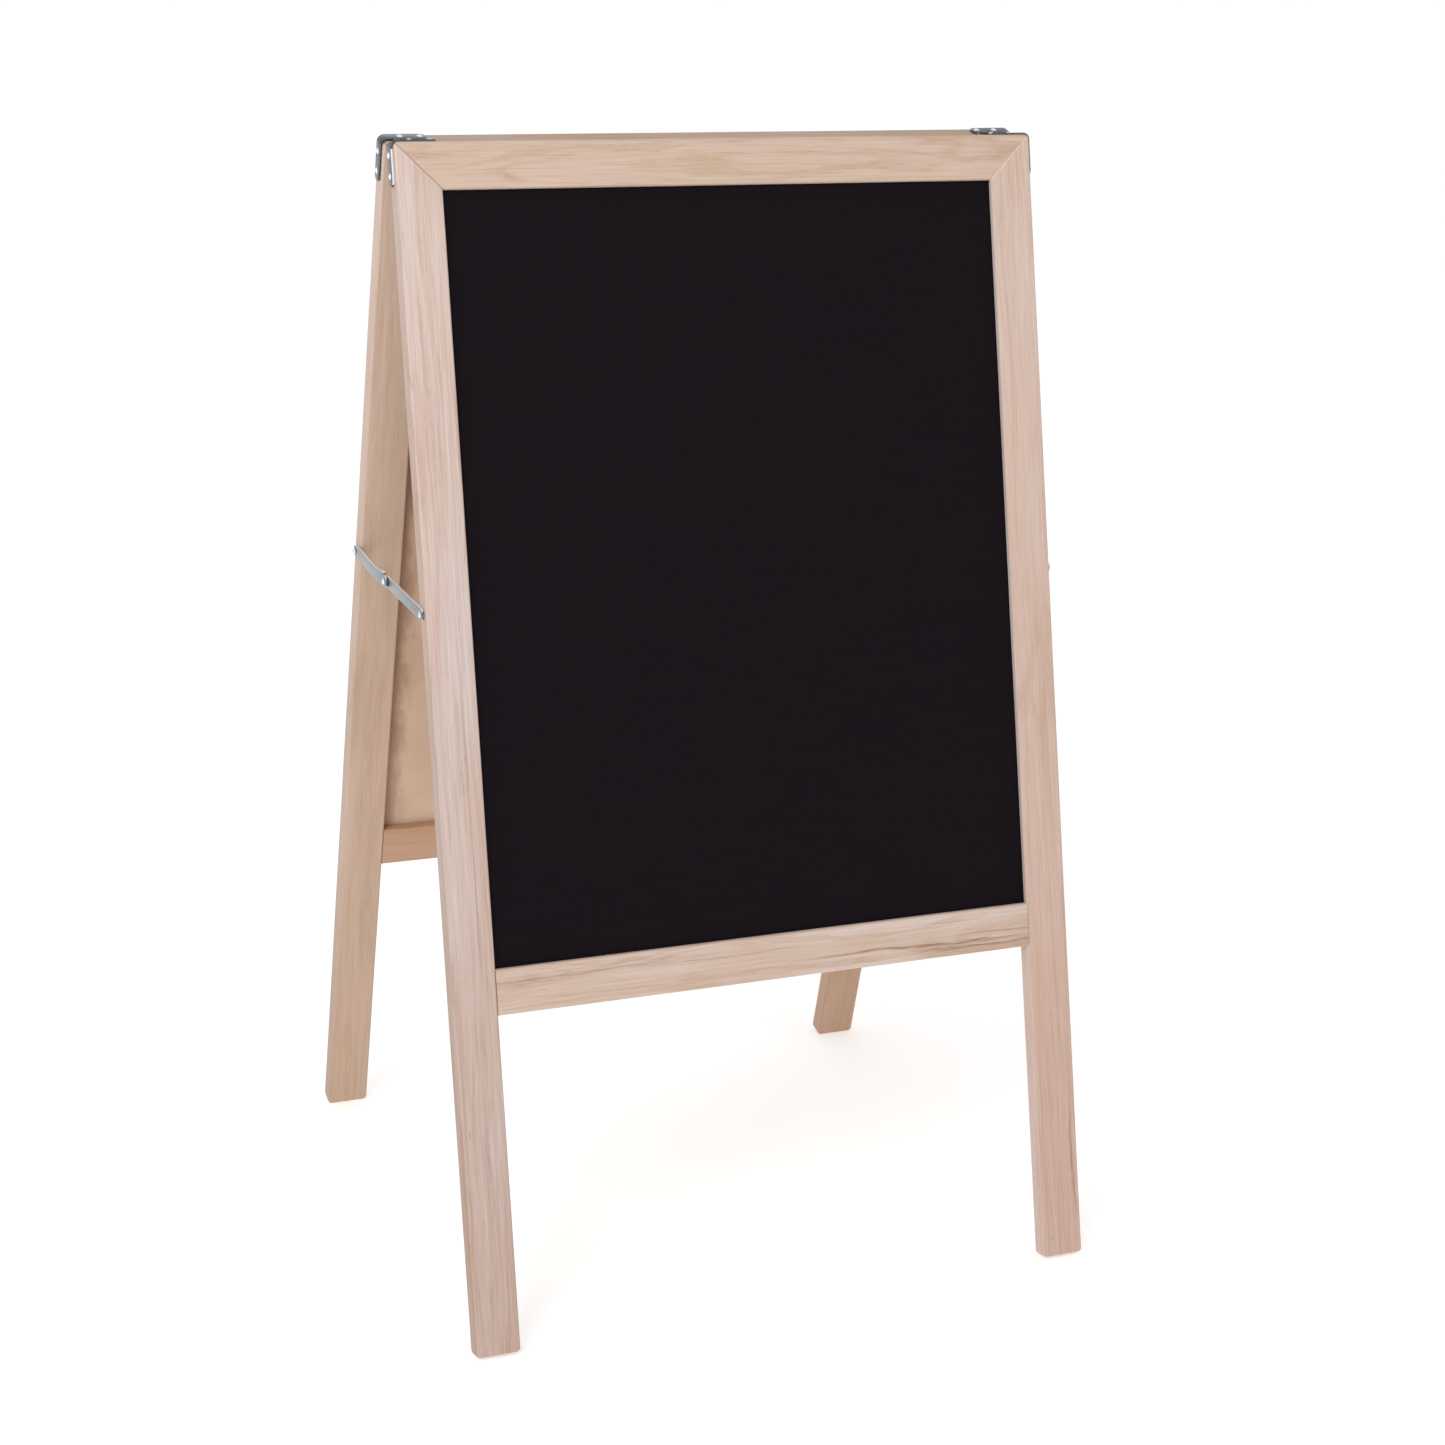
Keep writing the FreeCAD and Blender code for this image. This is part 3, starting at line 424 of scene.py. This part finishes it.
def zinc(name, shade, rough, seed=0.0, highlight_axis=None, below=1000, metal=1.0, rim=None):
    """Zinc-plated steel: faint clouded plating, fine rolling lines and small scuffs.

    The highlight axis names the object axis that edges with a painted highlight face, and
    the highlight is painted only below a height in millimetres. rim names the axis of a domed
    head, whose rim has painted shade where it turns away from that axis.
    """
    shader = Shader(name)
    place = shader.add("TexCoord", 3)
    cloud = shader.noise(shader.stretched(place, (0.35, 0.35, 0.35), (seed, 0, 0)), 4, 0.6)
    rolled = shader.noise(shader.stretched(place, (5, 0.15, 5), (seed, 0, 0)), 3, 0.6)
    scuff = shader.between(shader.noise(
        shader.stretched(place, (0.8, 2.4, 1.1), (0, seed, 0)), 3, 0.7, 2.0), 0.60, 0.74)
    base = shader.mix(shader.between(cloud, 0.3, 0.7), colour(shade),
                      colour([min(255, channel + 22) for channel in shade]))
    base = shader.mix(shader.math("MULTIPLY", scuff, 0.35), base, colour(SCUFFED))
    # Painted highlight: a near-white colour on the edges facing the given axis, standing in for
    # their lit edges.
    if highlight_axis:
        height = shader.add("SeparateXYZ", 2, Vector=place)
        painted_edge_highlight = shader.math("MULTIPLY", shader.between(shader.normal(highlight_axis), 0.5, 0.8),
                            shader.math("LESS_THAN", height, below * MM))
        base = shader.mix(painted_edge_highlight, base, colour(EDGE_HIGHLIGHT))
        metal = shader.between(painted_edge_highlight, 0, 1, metal, 0.25)
    # Painted shade: a dark tone on a domed head's rim, where it turns away from the given axis.
    if rim:
        base = shader.mix(shader.between(shader.normal(rim), 0.45, 0.80, 0.8, 0), base,
                          colour(RIM_SHADE))
    shine = shader.math("ADD", shader.between(cloud, 0.3, 0.7, rough - 0.05, rough + 0.07),
                        shader.math("MULTIPLY", scuff, 0.12))
    shader.set(Base_Color=base, Metallic=metal, Roughness=shine,
               Normal=shader.bump(shader.math("ADD", rolled, cloud), 0.12, 0.05 * MM))
    return shader.material


def beech():
    """Dowel wood: pale, with tiny dark flecks."""
    shader = Shader("beech")
    place = shader.add("TexCoord", 3)
    fleck = shader.noise(shader.stretched(place, (0.3, 2.5, 2.5)), 3, 0.6)
    base = shader.mix(shader.between(fleck, 0.4, 0.65), colour(BEECH_PALE),
                      colour(BEECH_FLECK))
    shader.set(Base_Color=base, Roughness=0.6, Normal=shader.bump(fleck, 0.2, 0.1 * MM))
    return shader.material


CHALKBOARD = chalkboard()
HARDBOARD = hardboard()
BEECH = beech()
ZINC_BAR = zinc("zinc_bar", BAR_GREY, 0.30, highlight_axis="Z")
ZINC_STRAP = zinc("zinc_strap", STRAP_GREY, 0.30, 3.0)
ZINC_STRAP_HIGHLIT = zinc("zinc_strap_highlit", STRAP_GREY, 0.30, 5.0, highlight_axis="Y", below=-9)
ZINC_HEAD = zinc("zinc_head", HEAD_WHITE, 0.24, 7.0, metal=0.35)
ZINC_PIVOT = zinc("zinc_pivot", HEAD_WHITE, 0.24, 9.0, metal=0.35, rim="X")
STEEL = zinc("bright_steel", PIN_GREY, 0.35, 11.0)


# ------------------------------------------------------------------ mesh helpers

def arc(centre, radius, start, end, steps=6):
    """Points of an arc, from one angle to another in degrees, both ends included."""
    for index in range(steps + 1):
        angle = math.radians(start + (end - start) * index / steps)
        yield centre[0] + radius * math.cos(angle), centre[1] + radius * math.sin(angle)


def circle(radius, count):
    """Points of a whole circle."""
    angles = [2 * math.pi * step / count for step in range(count)]
    return [(radius * math.cos(angle), radius * math.sin(angle)) for angle in angles]


def skin(rings):
    """A bmesh that skins rings of points, one after another, and caps both ends."""
    mesh = bmesh.new()
    rings = [[mesh.verts.new(point) for point in ring] for ring in rings]
    for lower, upper in zip(rings, rings[1:]):
        for index in range(len(lower)):
            following = (index + 1) % len(lower)
            mesh.faces.new((lower[index], lower[following], upper[following], upper[index]))
    mesh.faces.new(rings[0])
    mesh.faces.new(rings[-1])
    bmesh.ops.recalc_face_normals(mesh, faces=mesh.faces)
    return mesh


def slab(outline, back, face):
    """A bmesh of an outline in X and Z, as thick as from y = back to y = face."""
    mesh = bmesh.new()
    ring = [mesh.verts.new((x, back, z)) for x, z in outline]
    side = mesh.faces.new(ring)
    grown = bmesh.ops.extrude_face_region(mesh, geom=[side])
    moved = [item for item in grown["geom"] if isinstance(item, bmesh.types.BMVert)]
    bmesh.ops.translate(mesh, verts=moved, vec=(0, face - back, 0))
    bmesh.ops.recalc_face_normals(mesh, faces=mesh.faces)
    return mesh


def round_off(mesh, wanted, radius, segments):
    """Round the edges that wanted(edge) accepts."""
    edges = [edge for edge in mesh.edges if wanted(edge)]
    bmesh.ops.bevel(mesh, geom=edges, offset=radius, offset_type="OFFSET", segments=segments,
                    profile=0.5, affect="EDGES", clamp_overlap=False)


def is_sharp(edge):
    return len(edge.link_faces) == 2 and edge.calc_face_angle() > SHARP_ANGLE


def finish_mesh(name, mesh, material, matrix, body, node):
    """Turn a bmesh into a piece that is in place and rides on its body, for a CAD node."""
    data = bpy.data.meshes.new(name)
    mesh.to_mesh(data)
    mesh.free()
    data.polygons.foreach_set("use_smooth", [True] * len(data.polygons))
    data.set_sharp_from_angle(angle=SMOOTH_ANGLE)
    data.materials.append(material)
    piece = bpy.data.objects.new(name, data)
    bpy.context.scene.collection.objects.link(piece)
    piece.matrix_world = matrix
    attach(piece, body)
    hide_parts(node)


def merge(target, source, matrix=Matrix()):
    """Add a copy of one bmesh to another."""
    data = bpy.data.meshes.new("part")
    source.to_mesh(data)
    data.transform(matrix)
    target.from_mesh(data)
    bpy.data.meshes.remove(data)


# ------------------------------------------------------------------------ timber

def cut_along(mesh, axis, low, high):
    """Rings of edges across a long piece, so that its surface can waver."""
    normal = Vector((1, 0, 0)) if axis == "X" else Vector((0, 0, 1))
    count = int((high - low) / RING_EVERY)
    for index in range(1, count):
        point = normal * (low + (high - low) * index / count)
        geometry = mesh.verts[:] + mesh.edges[:] + mesh.faces[:]
        bmesh.ops.bisect_plane(mesh, geom=geometry, plane_co=point, plane_no=normal)


def waver(mesh, seed):
    """Slight unevenness left by planing and sanding."""
    for vertex in mesh.verts:
        spot = vertex.co * 14 + Vector((seed * 3.7, seed * 1.9, seed))
        vertex.co += noise.noise_vector(spot) * UNEVENNESS


def ease(mesh, is_joint):
    """Ease the long edges, then take the sharpness off the edges at the joints."""
    faces = (TIMBER_BACK, TIMBER_FACE)

    def on_face(edge):
        level = [vertex.co.y for vertex in edge.verts]
        return any(all(abs(y - face) < SAME for y in level) for face in faces)

    round_off(mesh, lambda edge: on_face(edge) and not is_joint(edge), EASING, 5)
    round_off(mesh, is_sharp, JOINT_CHAMFER, 2)


def is_diagonal(edge):
    run = edge.verts[1].co - edge.verts[0].co
    return abs(abs(run.x) - abs(run.z)) < SAME and run.length > TIMBER_WIDE


def is_upright(edge):
    run = edge.verts[1].co - edge.verts[0].co
    return abs(run.x) < SAME


def top_corner(side, start, end):
    """Part of the frame's rounded top corner, between two angles from the +X axis."""
    centre = HALF_WIDTH - CORNER_ROUND, TOP - CORNER_ROUND
    return [(side * x, z) for x, z in arc(centre, CORNER_ROUND, start, end, 4)]


def stile_outline(side):
    foot_high = FOOT + FOOT_ROUND
    outer = HALF_WIDTH - FOOT_ROUND, foot_high
    inner = INNER_X + FOOT_ROUND, foot_high
    right = list(top_corner(RIGHT, 45, 0))
    right += arc(outer, FOOT_ROUND, 0, -90)
    right += arc(inner, FOOT_ROUND, -90, -180)
    right.append((INNER_X, TOP - TIMBER_WIDE))
    return [(side * x, z) for x, z in right]


def top_rail_outline():
    low = TOP - TIMBER_WIDE
    return ([(-INNER_X, low), (INNER_X, low)] + top_corner(RIGHT, 45, 90)
            + top_corner(LEFT, 90, 45))


def bottom_rail_outline():
    high = TOP - RAIL_DROP
    low = high - TIMBER_WIDE
    return [(-INNER_X, low), (INNER_X, low), (INNER_X, high), (-INNER_X, high)]


def make_member(node, drawn_from, end, along, is_joint, material, seed):
    """One stile or rail of the front or rear frame."""
    mesh = slab(drawn_from, TIMBER_BACK, TIMBER_FACE)
    ease(mesh, is_joint)
    places = [vertex.co[0 if along == "X" else 2] for vertex in mesh.verts]
    cut_along(mesh, along, min(places), max(places))
    waver(mesh, seed)
    finish_mesh(node + "_timber", mesh, material, OPEN[end], end + "_frame", node)


def make_frame_timber(end, looks):
    turned = -1 if end == "rear" else 1
    for side_name, side in SIDES.items():
        node = f"{end}_{side_name}_stile"
        make_member(node, stile_outline(side * turned), end, "Z", is_diagonal,
                    oak(node + "_oak", "Z", **looks[side_name]), looks[side_name]["seed"])
    for place, outline, is_joint in (("top", top_rail_outline(), is_diagonal),
                                     ("bottom", bottom_rail_outline(), is_upright)):
        node = f"{end}_{place}_rail"
        make_member(node, outline, end, "X", is_joint,
                    oak(node + "_oak", "X", **looks[place]), looks[place]["seed"])


# The stiles' tints towards their lower ends and on their sawn sides are painted shade and light,
# and the front mitres' second colour is a painted highlight.
# Streaks are given along and across the grain, in millimetres from the hinge pin.
FRONT_OAK = {
    "left": dict(seed=1.0, pale=PINK, deep=BLUSH, contrast=0.95, shade_to_foot=(0.82, 0.76, 0.72),
                 edge=(0.82, 0.78, 0.74), mitre=(GLUE_LINE, MITRE_HIGHLIGHT), streaks=[
        (-560, -278, 90, 1.0, RUST, 0.5), (-660, -277, 70, 0.9, UMBER, 0.65),
        (-868, -298, 4, 1.2, GREY_MARK, 0.8)]),
    "right": dict(seed=2.0, pale=BLUSH, deep=TAN, contrast=0.8, pith=(-330, 60),
                  shade_to_foot=(0.92, 0.84, 0.80), edge=(1.02, 1.14, 1.24),
                  mitre=(GLUE_LINE, MITRE_HIGHLIGHT), streaks=[
        (-490, 285, 90, 16.0, SMOKE, 0.4), (-980, 298, 70, 2.2, RUST, 0.75),
        (-1052, 272, 4, 1.6, GREY_MARK, 0.7)]),
    "top": dict(seed=3.0, pale=TAN, deep=STRAW, contrast=1.0, pith=(30, 60),
                mitre=(GLUE_LINE, MITRE_HIGHLIGHT), streaks=[
        (90, -26, 170, 1.6, HONEY, 0.7), (-160, -20, 120, 1.2, HONEY, 0.6),
        (245, -20, 75, 12.0, SMOKE, 0.55)]),
    "bottom": dict(seed=4.0, pale=SHELL, deep=FAWN, contrast=1.0,
                   pith=(740, 40), streaks=[
        (215, -755, 100, 9.0, SMOKE, 0.85), (150, -752, 140, 2.2, UMBER, 0.8),
        (215, -756, 90, 2.2, UMBER, 0.75), (235, -746, 70, 1.4, RUST, 0.55),
        (-170, -735, 150, 6.0, SMOKE, 0.6), (-200, -736, 120, 1.2, UMBER, 0.5),
        (-60, -738, 120, 1.0, UMBER, 0.4)]),
}
REAR_OAK = {
    "left": dict(seed=5.0, pale=CREAM, deep=STRAW, contrast=0.6, pith=(-250, 50),
                 shade_to_foot=(0.80, 0.74, 0.68), edge=(0.92, 0.94, 1.0),
                 mitre=(GLUE_LINE, GLUE_LINE)),
    "right": dict(seed=6.0, pale=SAND, deep=HONEY, contrast=0.7, shade_to_foot=(0.92, 0.87, 0.82),
                  mitre=(GLUE_LINE, GLUE_LINE)),
    "top": dict(seed=7.0, pale=TAUPE, deep=CLAY, contrast=0.9, pith=(30, 60),
                mitre=(GLUE_LINE, GLUE_LINE)),
    "bottom": dict(seed=8.0, pale=TEAK, deep=WALNUT, contrast=0.9, pith=(745, 50)),
}
make_frame_timber("front", FRONT_OAK)
make_frame_timber("rear", REAR_OAK)


# ------------------------------------------------------------------------ screws

def domed_head(radius, height, recess):
    """A domed head standing on z = 0, with a tapered cross recess when asked."""
    ball = (radius ** 2 + height ** 2) / (2 * height)
    rim = 0.18 * height
    rows = [(radius * 0.97, 0.0), (radius, rim * 0.5), (radius, rim)]
    top_angle = math.asin(radius / ball)
    for index in range(1, DOME_RINGS):
        angle = top_angle * (1 - index / DOME_RINGS)
        rows.append((ball * math.sin(angle), height - ball + ball * math.cos(angle)))
    mesh = skin([[(x, y, z) for x, y in circle(ring, HEAD_SIDES)] for ring, z in rows])
    return cut_cross(mesh, radius, height) if recess else mesh


def cut_cross(mesh, radius, height):
    """Cut a driver recess: two crossed slots that narrow towards the bottom."""
    cutter = bmesh.new()
    long, wide, deep = radius * 0.62, radius * 0.14, height * 0.75
    corners = [(-long, -wide), (long, -wide), (long, wide), (-long, wide)]
    levels = [(height + 0.5 * MM, 1.15), (height - deep, 0.45)]
    for turn in (0, math.pi / 2):
        around = Matrix.Rotation(turn, 4, "Z")
        upper, lower = ([cutter.verts.new(around @ Vector((x * scale, y, z)))
                         for x, y in corners] for z, scale in levels)
        cutter.faces.new(upper)
        cutter.faces.new(list(reversed(lower)))
        for index in range(4):
            following = (index + 1) % 4
            cutter.faces.new((upper[index], lower[index], lower[following], upper[following]))
    bmesh.ops.recalc_face_normals(cutter, faces=cutter.faces)
    pieces = []
    for name, source in (("head", mesh), ("cross", cutter)):
        data = bpy.data.meshes.new(name)
        source.to_mesh(data)
        source.free()
        piece = bpy.data.objects.new(name, data)
        bpy.context.scene.collection.objects.link(piece)
        pieces.append(piece)
    head, cross = pieces
    tool = head.modifiers.new("recess", "BOOLEAN")
    tool.operation = "DIFFERENCE"
    tool.solver = "EXACT"
    tool.use_self = True
    tool.object = cross
    bpy.context.view_layer.update()
    cut = head.evaluated_get(bpy.context.evaluated_depsgraph_get())
    result = bmesh.new()
    result.from_mesh(cut.to_mesh())
    for piece in pieces:
        bpy.data.objects.remove(piece)
    return result


def shank(radius, length):
    """The plain part of a screw or rivet, down from z = 0."""
    mesh = bmesh.new()
    bmesh.ops.create_cone(mesh, cap_ends=True, segments=SHANK_SIDES, radius1=radius * 0.8,
                          radius2=radius, depth=length,
                          matrix=Matrix.Translation((0, 0, -length / 2)))
    return mesh


def fastener(radius, height, shank_radius, length, recess=True):
    mesh = domed_head(radius, height, recess)
    merge(mesh, shank(shank_radius, length))
    return mesh


def facing(direction, point, spin=0.0):
    """A matrix that turns +Z to the direction, with its origin at the point."""
    turn = Vector(direction).to_track_quat("Z", "Y").to_matrix().to_4x4()
    return Matrix.Translation(point) @ turn @ Matrix.Rotation(spin, 4, "Z")


HINGE_SCREW = fastener(2.8 * MM, 1.6 * MM, 1.55 * MM, 13.9 * MM)
PIVOT_SCREW = fastener(3.3 * MM, 2.0 * MM, 1.95 * MM, 17.9 * MM)
RIVET = fastener(3.3 * MM, 2.0 * MM, 1.95 * MM, 2.05 * MM, recess=False)


# ------------------------------------------------------------------------ hinges

def strap_outline(side):
    """The strap's section: over the top of the frame's corner and down its side."""
    bend = HALF_WIDTH - STRAP_BEND, TOP - STRAP_BEND
    end_x, end_z = HALF_WIDTH - STRAP_TOP_ARM, TOP - STRAP_SIDE_ARM
    points = [(end_x, TOP)]
    points += arc(bend, STRAP_BEND, 90, 0, 8)
    points += [(HALF_WIDTH, end_z), (HALF_WIDTH + STRAP_THICK, end_z)]
    points += arc(bend, STRAP_BEND + STRAP_THICK, 0, 90, 8)
    points.append((end_x, TOP + STRAP_THICK))
    return [(side * x, z) for x, z in points]


def knuckle(start, side):
    """A rolled knuckle: the strap's tab curled round the pin, with the seam it leaves."""
    tab = -STRAP_EDGE - 1 * MM
    high = TOP + STRAP_THICK
    outer = list(arc((0, 0), KNUCKLE_RADIUS, -90, 150, 22))
    inner = list(arc((0, 0), KNUCKLE_BORE, 150, -40, 16))
    section = [(tab, TOP), (0, TOP)] + outer[1:] + inner
    section += [(-0.6 * MM, high - 0.35 * MM), (-2.9 * MM, high), (tab, high)]
    ends = [side * (HALF_WIDTH - start), side * (HALF_WIDTH - start - KNUCKLE_LONG)]
    return skin([[(x, y, z) for y, z in section] for x in ends])


def make_leaf(end, side_name):
    """One hinge strap and its four screws."""
    side = SIDES[side_name] * (-1 if end == "rear" else 1)
    far_edge = -STRAP_EDGE - STRAP_WIDE
    mesh = slab(strap_outline(side), -STRAP_EDGE, far_edge)
    arm_x, arm_z = HALF_WIDTH - STRAP_TOP_ARM, TOP - STRAP_SIDE_ARM

    def is_corner(edge):
        middle = (edge.verts[0].co + edge.verts[1].co) / 2
        across = abs(edge.verts[0].co.y - edge.verts[1].co.y) < SAME
        short = abs(edge.calc_length() - STRAP_THICK) < SAME
        side_arm = abs(middle.z - arm_z) < SAME
        top_arm = abs(abs(middle.x) - arm_x) < SAME
        holds_knuckle = end == "front" and abs(middle.y - far_edge) > SAME
        return across and short and (side_arm or (top_arm and not holds_knuckle))

    round_off(mesh, is_corner, STRAP_ROUND, 6)
    round_off(mesh, is_sharp, SHEET_EDGE, 2)
    for index in ((1,) if end == "rear" else (0, 2)):
        merge(mesh, knuckle(KNUCKLE_START + index * KNUCKLE_PITCH, side))
    name = f"{side_name}_{end}_leaf"
    metal = ZINC_STRAP_HIGHLIT if name == "left_front_leaf" else ZINC_STRAP
    finish_mesh(name + "_strap", mesh, metal, OPEN[end], end + "_frame", name)

    middle = -STRAP_EDGE - STRAP_WIDE / 2
    screws = bmesh.new()
    for index, (inset, drop) in enumerate(zip(TOP_SCREWS, SIDE_SCREWS)):
        top = Vector((side * (HALF_WIDTH - inset), middle, TOP + STRAP_THICK))
        flank = Vector((side * (HALF_WIDTH + STRAP_THICK), middle, TOP - drop))
        merge(screws, HINGE_SCREW, facing((0, 0, 1), top, 0.4 + 0.9 * index))
        merge(screws, HINGE_SCREW, facing((side, 0, 0), flank, 0.15 + 0.7 * index))
    finish_mesh(name + "_screw_set", screws, ZINC_HEAD, OPEN[end], end + "_frame",
                name + "_screws")


def make_pin(side_name):
    """A plain pin with both ends peened into low domes."""
    low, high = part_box(f"{side_name}_hinge_pin")
    profile = [(PIN_HEAD * 0.7, low.x + 0.08 * MM), (PIN_HEAD, low.x + 0.35 * MM),
               (PIN_HEAD, low.x + PIN_PEEN), (PIN_RADIUS, low.x + PIN_PEEN)]
    profile += [(ring, low.x + high.x - x) for ring, x in reversed(profile)]
    mesh = skin([[(x, y, PIN.z + z) for y, z in circle(ring, PIN_SIDES)]
                 for ring, x in profile])
    finish_mesh(f"{side_name}_pin", mesh, STEEL, Matrix(), "front_frame",
                f"{side_name}_hinge_pin")


# ------------------------------------------------------------------------ braces

def bar_strip(side, reach, joggled):
    """A flat bar from its stile pivot at the origin to its rivet, reach away along Y."""
    toward = -1 if joggled else 1
    step = BAR_STEP if joggled else 0.0
    stations = [(-BAR_WIDE / 2, 0.0), (reach - JOGGLE_FROM - JOGGLE_RUN, 0.0),
                (reach - JOGGLE_FROM, step), (reach + BAR_WIDE / 2, step)]
    if not joggled:
        stations = [stations[0], stations[-1]]
    section = [(y, BAR_GAP + x) for y, x in stations]
    section += [(y, BAR_GAP + BAR_THICK + x) for y, x in reversed(stations)]
    mesh = skin([[(side * x, toward * y, z) for y, x in section]
                 for z in (-BAR_WIDE / 2, BAR_WIDE / 2)])
    ends = (BAR_WIDE / 2, reach + BAR_WIDE / 2)

    def is_end(edge):
        level = abs(edge.verts[0].co.z - edge.verts[1].co.z) < SAME
        middle = abs((edge.verts[0].co.y + edge.verts[1].co.y) / 2)
        return level and abs(edge.calc_length() - BAR_THICK) < SAME and any(
            abs(middle - end) < SAME for end in ends)

    round_off(mesh, is_end, BAR_WIDE / 2 - 0.06 * MM, 8)
    round_off(mesh, is_sharp, SHEET_EDGE, 2)
    return mesh


def stop_tab(side, reach):
    """The folded tab on the outer bar's top edge that stops the brace at straight."""
    outside = BAR_GAP + BAR_THICK + BAR_STEP
    inside = BAR_GAP + 0.4 * MM
    base, roof = BAR_WIDE / 2 - 0.6 * MM, BAR_WIDE / 2 + TAB_RISE
    section = [(outside - BAR_THICK, base), (outside, base)]
    section += arc((outside - TAB_LIP, roof - TAB_LIP), TAB_LIP, 0, 90, 5)
    section += [(inside, roof), (inside, roof - TAB_LIP),
                (outside - BAR_THICK, roof - TAB_LIP)]
    ends = [TAB_START - reach, TAB_START + TAB_LONG - reach]
    mesh = skin([[(side * x, y, z) for x, z in section] for y in ends])
    round_off(mesh, is_sharp, TAB_EDGE, 2)
    return mesh


def make_brace(side_name, side):
    for end in ("front", "rear"):
        pivot = BRACE[f"{side_name}_{end}_brace_pivot"]
        seat = Vector((side * HALF_WIDTH, pivot.y, pivot.z))
        joggled = end == "rear"
        body = f"{side_name}_{end}_brace"
        mesh = bar_strip(side, BRACE_REACH, joggled)
        if joggled:
            merge(mesh, stop_tab(side, BRACE_REACH))
        finish_mesh(f"{side_name}_{end}_bar", mesh, ZINC_BAR, Matrix.Translation(seat), body,
                    f"{side_name}_{end}_link")
        screw = bmesh.new()
        head = seat + Vector((side * (BAR_GAP + BAR_THICK + 0.1 * MM), 0, 0))
        merge(screw, PIVOT_SCREW, facing((side, 0, 0), head, 0.5 if joggled else 0.2))
        finish_mesh(f"{side_name}_{end}_brace_screw", screw, ZINC_PIVOT, Matrix(),
                    f"{end}_frame", f"{side_name}_{end}_pivot_screw")
    height = BRACE[f"{side_name}_rear_brace_pivot"].z
    over = HALF_WIDTH + BAR_GAP + BAR_THICK + BAR_STEP
    rivet = bmesh.new()
    merge(rivet, RIVET, facing((side, 0, 0), (side * over, 0, height)))
    finish_mesh(f"{side_name}_rivet", rivet, ZINC_PIVOT, Matrix(), f"{side_name}_rear_brace",
                f"{side_name}_brace_rivet")


for side_name, side in SIDES.items():
    make_pin(side_name)
    make_brace(side_name, side)
    for end in ("front", "rear"):
        make_leaf(end, side_name)

INNER_FINISHES = {"_board": HARDBOARD, "_chalk_coat": CHALKBOARD, "_rail_dowels": BEECH,
                  "_mitre_nails": STEEL}
for node, item in frame["nodes"].items():
    for ending, material in INNER_FINISHES.items():
        if node.endswith(ending):
            item.data.materials.clear()
            item.data.materials.append(material)


# ------------------------------------------------------------------------- studio

FLOOR_REACH = 30
FLOOR_GLOW = 0.42
WORLD_GLOW = 0.70
MIDDLE = (0, 0, 0.6)


def make_floor():
    mesh = bmesh.new()
    bmesh.ops.create_grid(mesh, x_segments=1, y_segments=1, size=FLOOR_REACH)
    data = bpy.data.meshes.new("floor")
    mesh.to_mesh(data)
    mesh.free()
    shader = Shader("studio_floor")
    place = shader.add("TexCoord", 3)
    cloud = shader.noise(shader.stretched(place, (0.002, 0.002, 0.002)), 3, 0.5)
    shader.set(Base_Color=shader.mix(cloud, (0.83, 0.83, 0.83, 1), (0.85, 0.85, 0.85, 1)),
               Roughness=0.9, Emission_Color=(1, 1, 1, 1), Emission_Strength=FLOOR_GLOW)
    shader.surface.inputs["Specular IOR Level"].default_value = 0.1
    data.materials.append(shader.material)
    floor = bpy.data.objects.new("floor", data)
    bpy.context.scene.collection.objects.link(floor)


def make_light(name, place, target, size, power, tint=(1, 1, 1)):
    data = bpy.data.lights.new(name, "AREA")
    data.shape = "RECTANGLE"
    data.size, data.size_y = size
    data.energy = power
    data.color = tint
    light = bpy.data.objects.new(name, data)
    bpy.context.scene.collection.objects.link(light)
    light.location = place
    aim = Vector(target) - Vector(place)
    light.rotation_euler = aim.to_track_quat("-Z", "Y").to_euler()


def make_studio():
    make_floor()
    make_light("key", (-2.3, -2.2, 2.8), (0, -0.1, 0.9), (1.6, 1.6), 46, (1.0, 0.99, 0.98))
    make_light("fill", (2.6, -2.2, 1.6), MIDDLE, (2.2, 2.2), 5, (0.98, 0.99, 1.0))
    make_light("back", (0.4, 2.8, 2.4), MIDDLE, (2.4, 1.6), 6)
    world = bpy.data.worlds.new("studio")
    world.use_nodes = True
    background = world.node_tree.nodes["Background"]
    background.inputs["Color"].default_value = (1, 1, 1, 1)
    background.inputs["Strength"].default_value = WORLD_GLOW
    bpy.context.scene.world = world
    bpy.context.scene.view_settings.view_transform = "Standard"


make_studio()
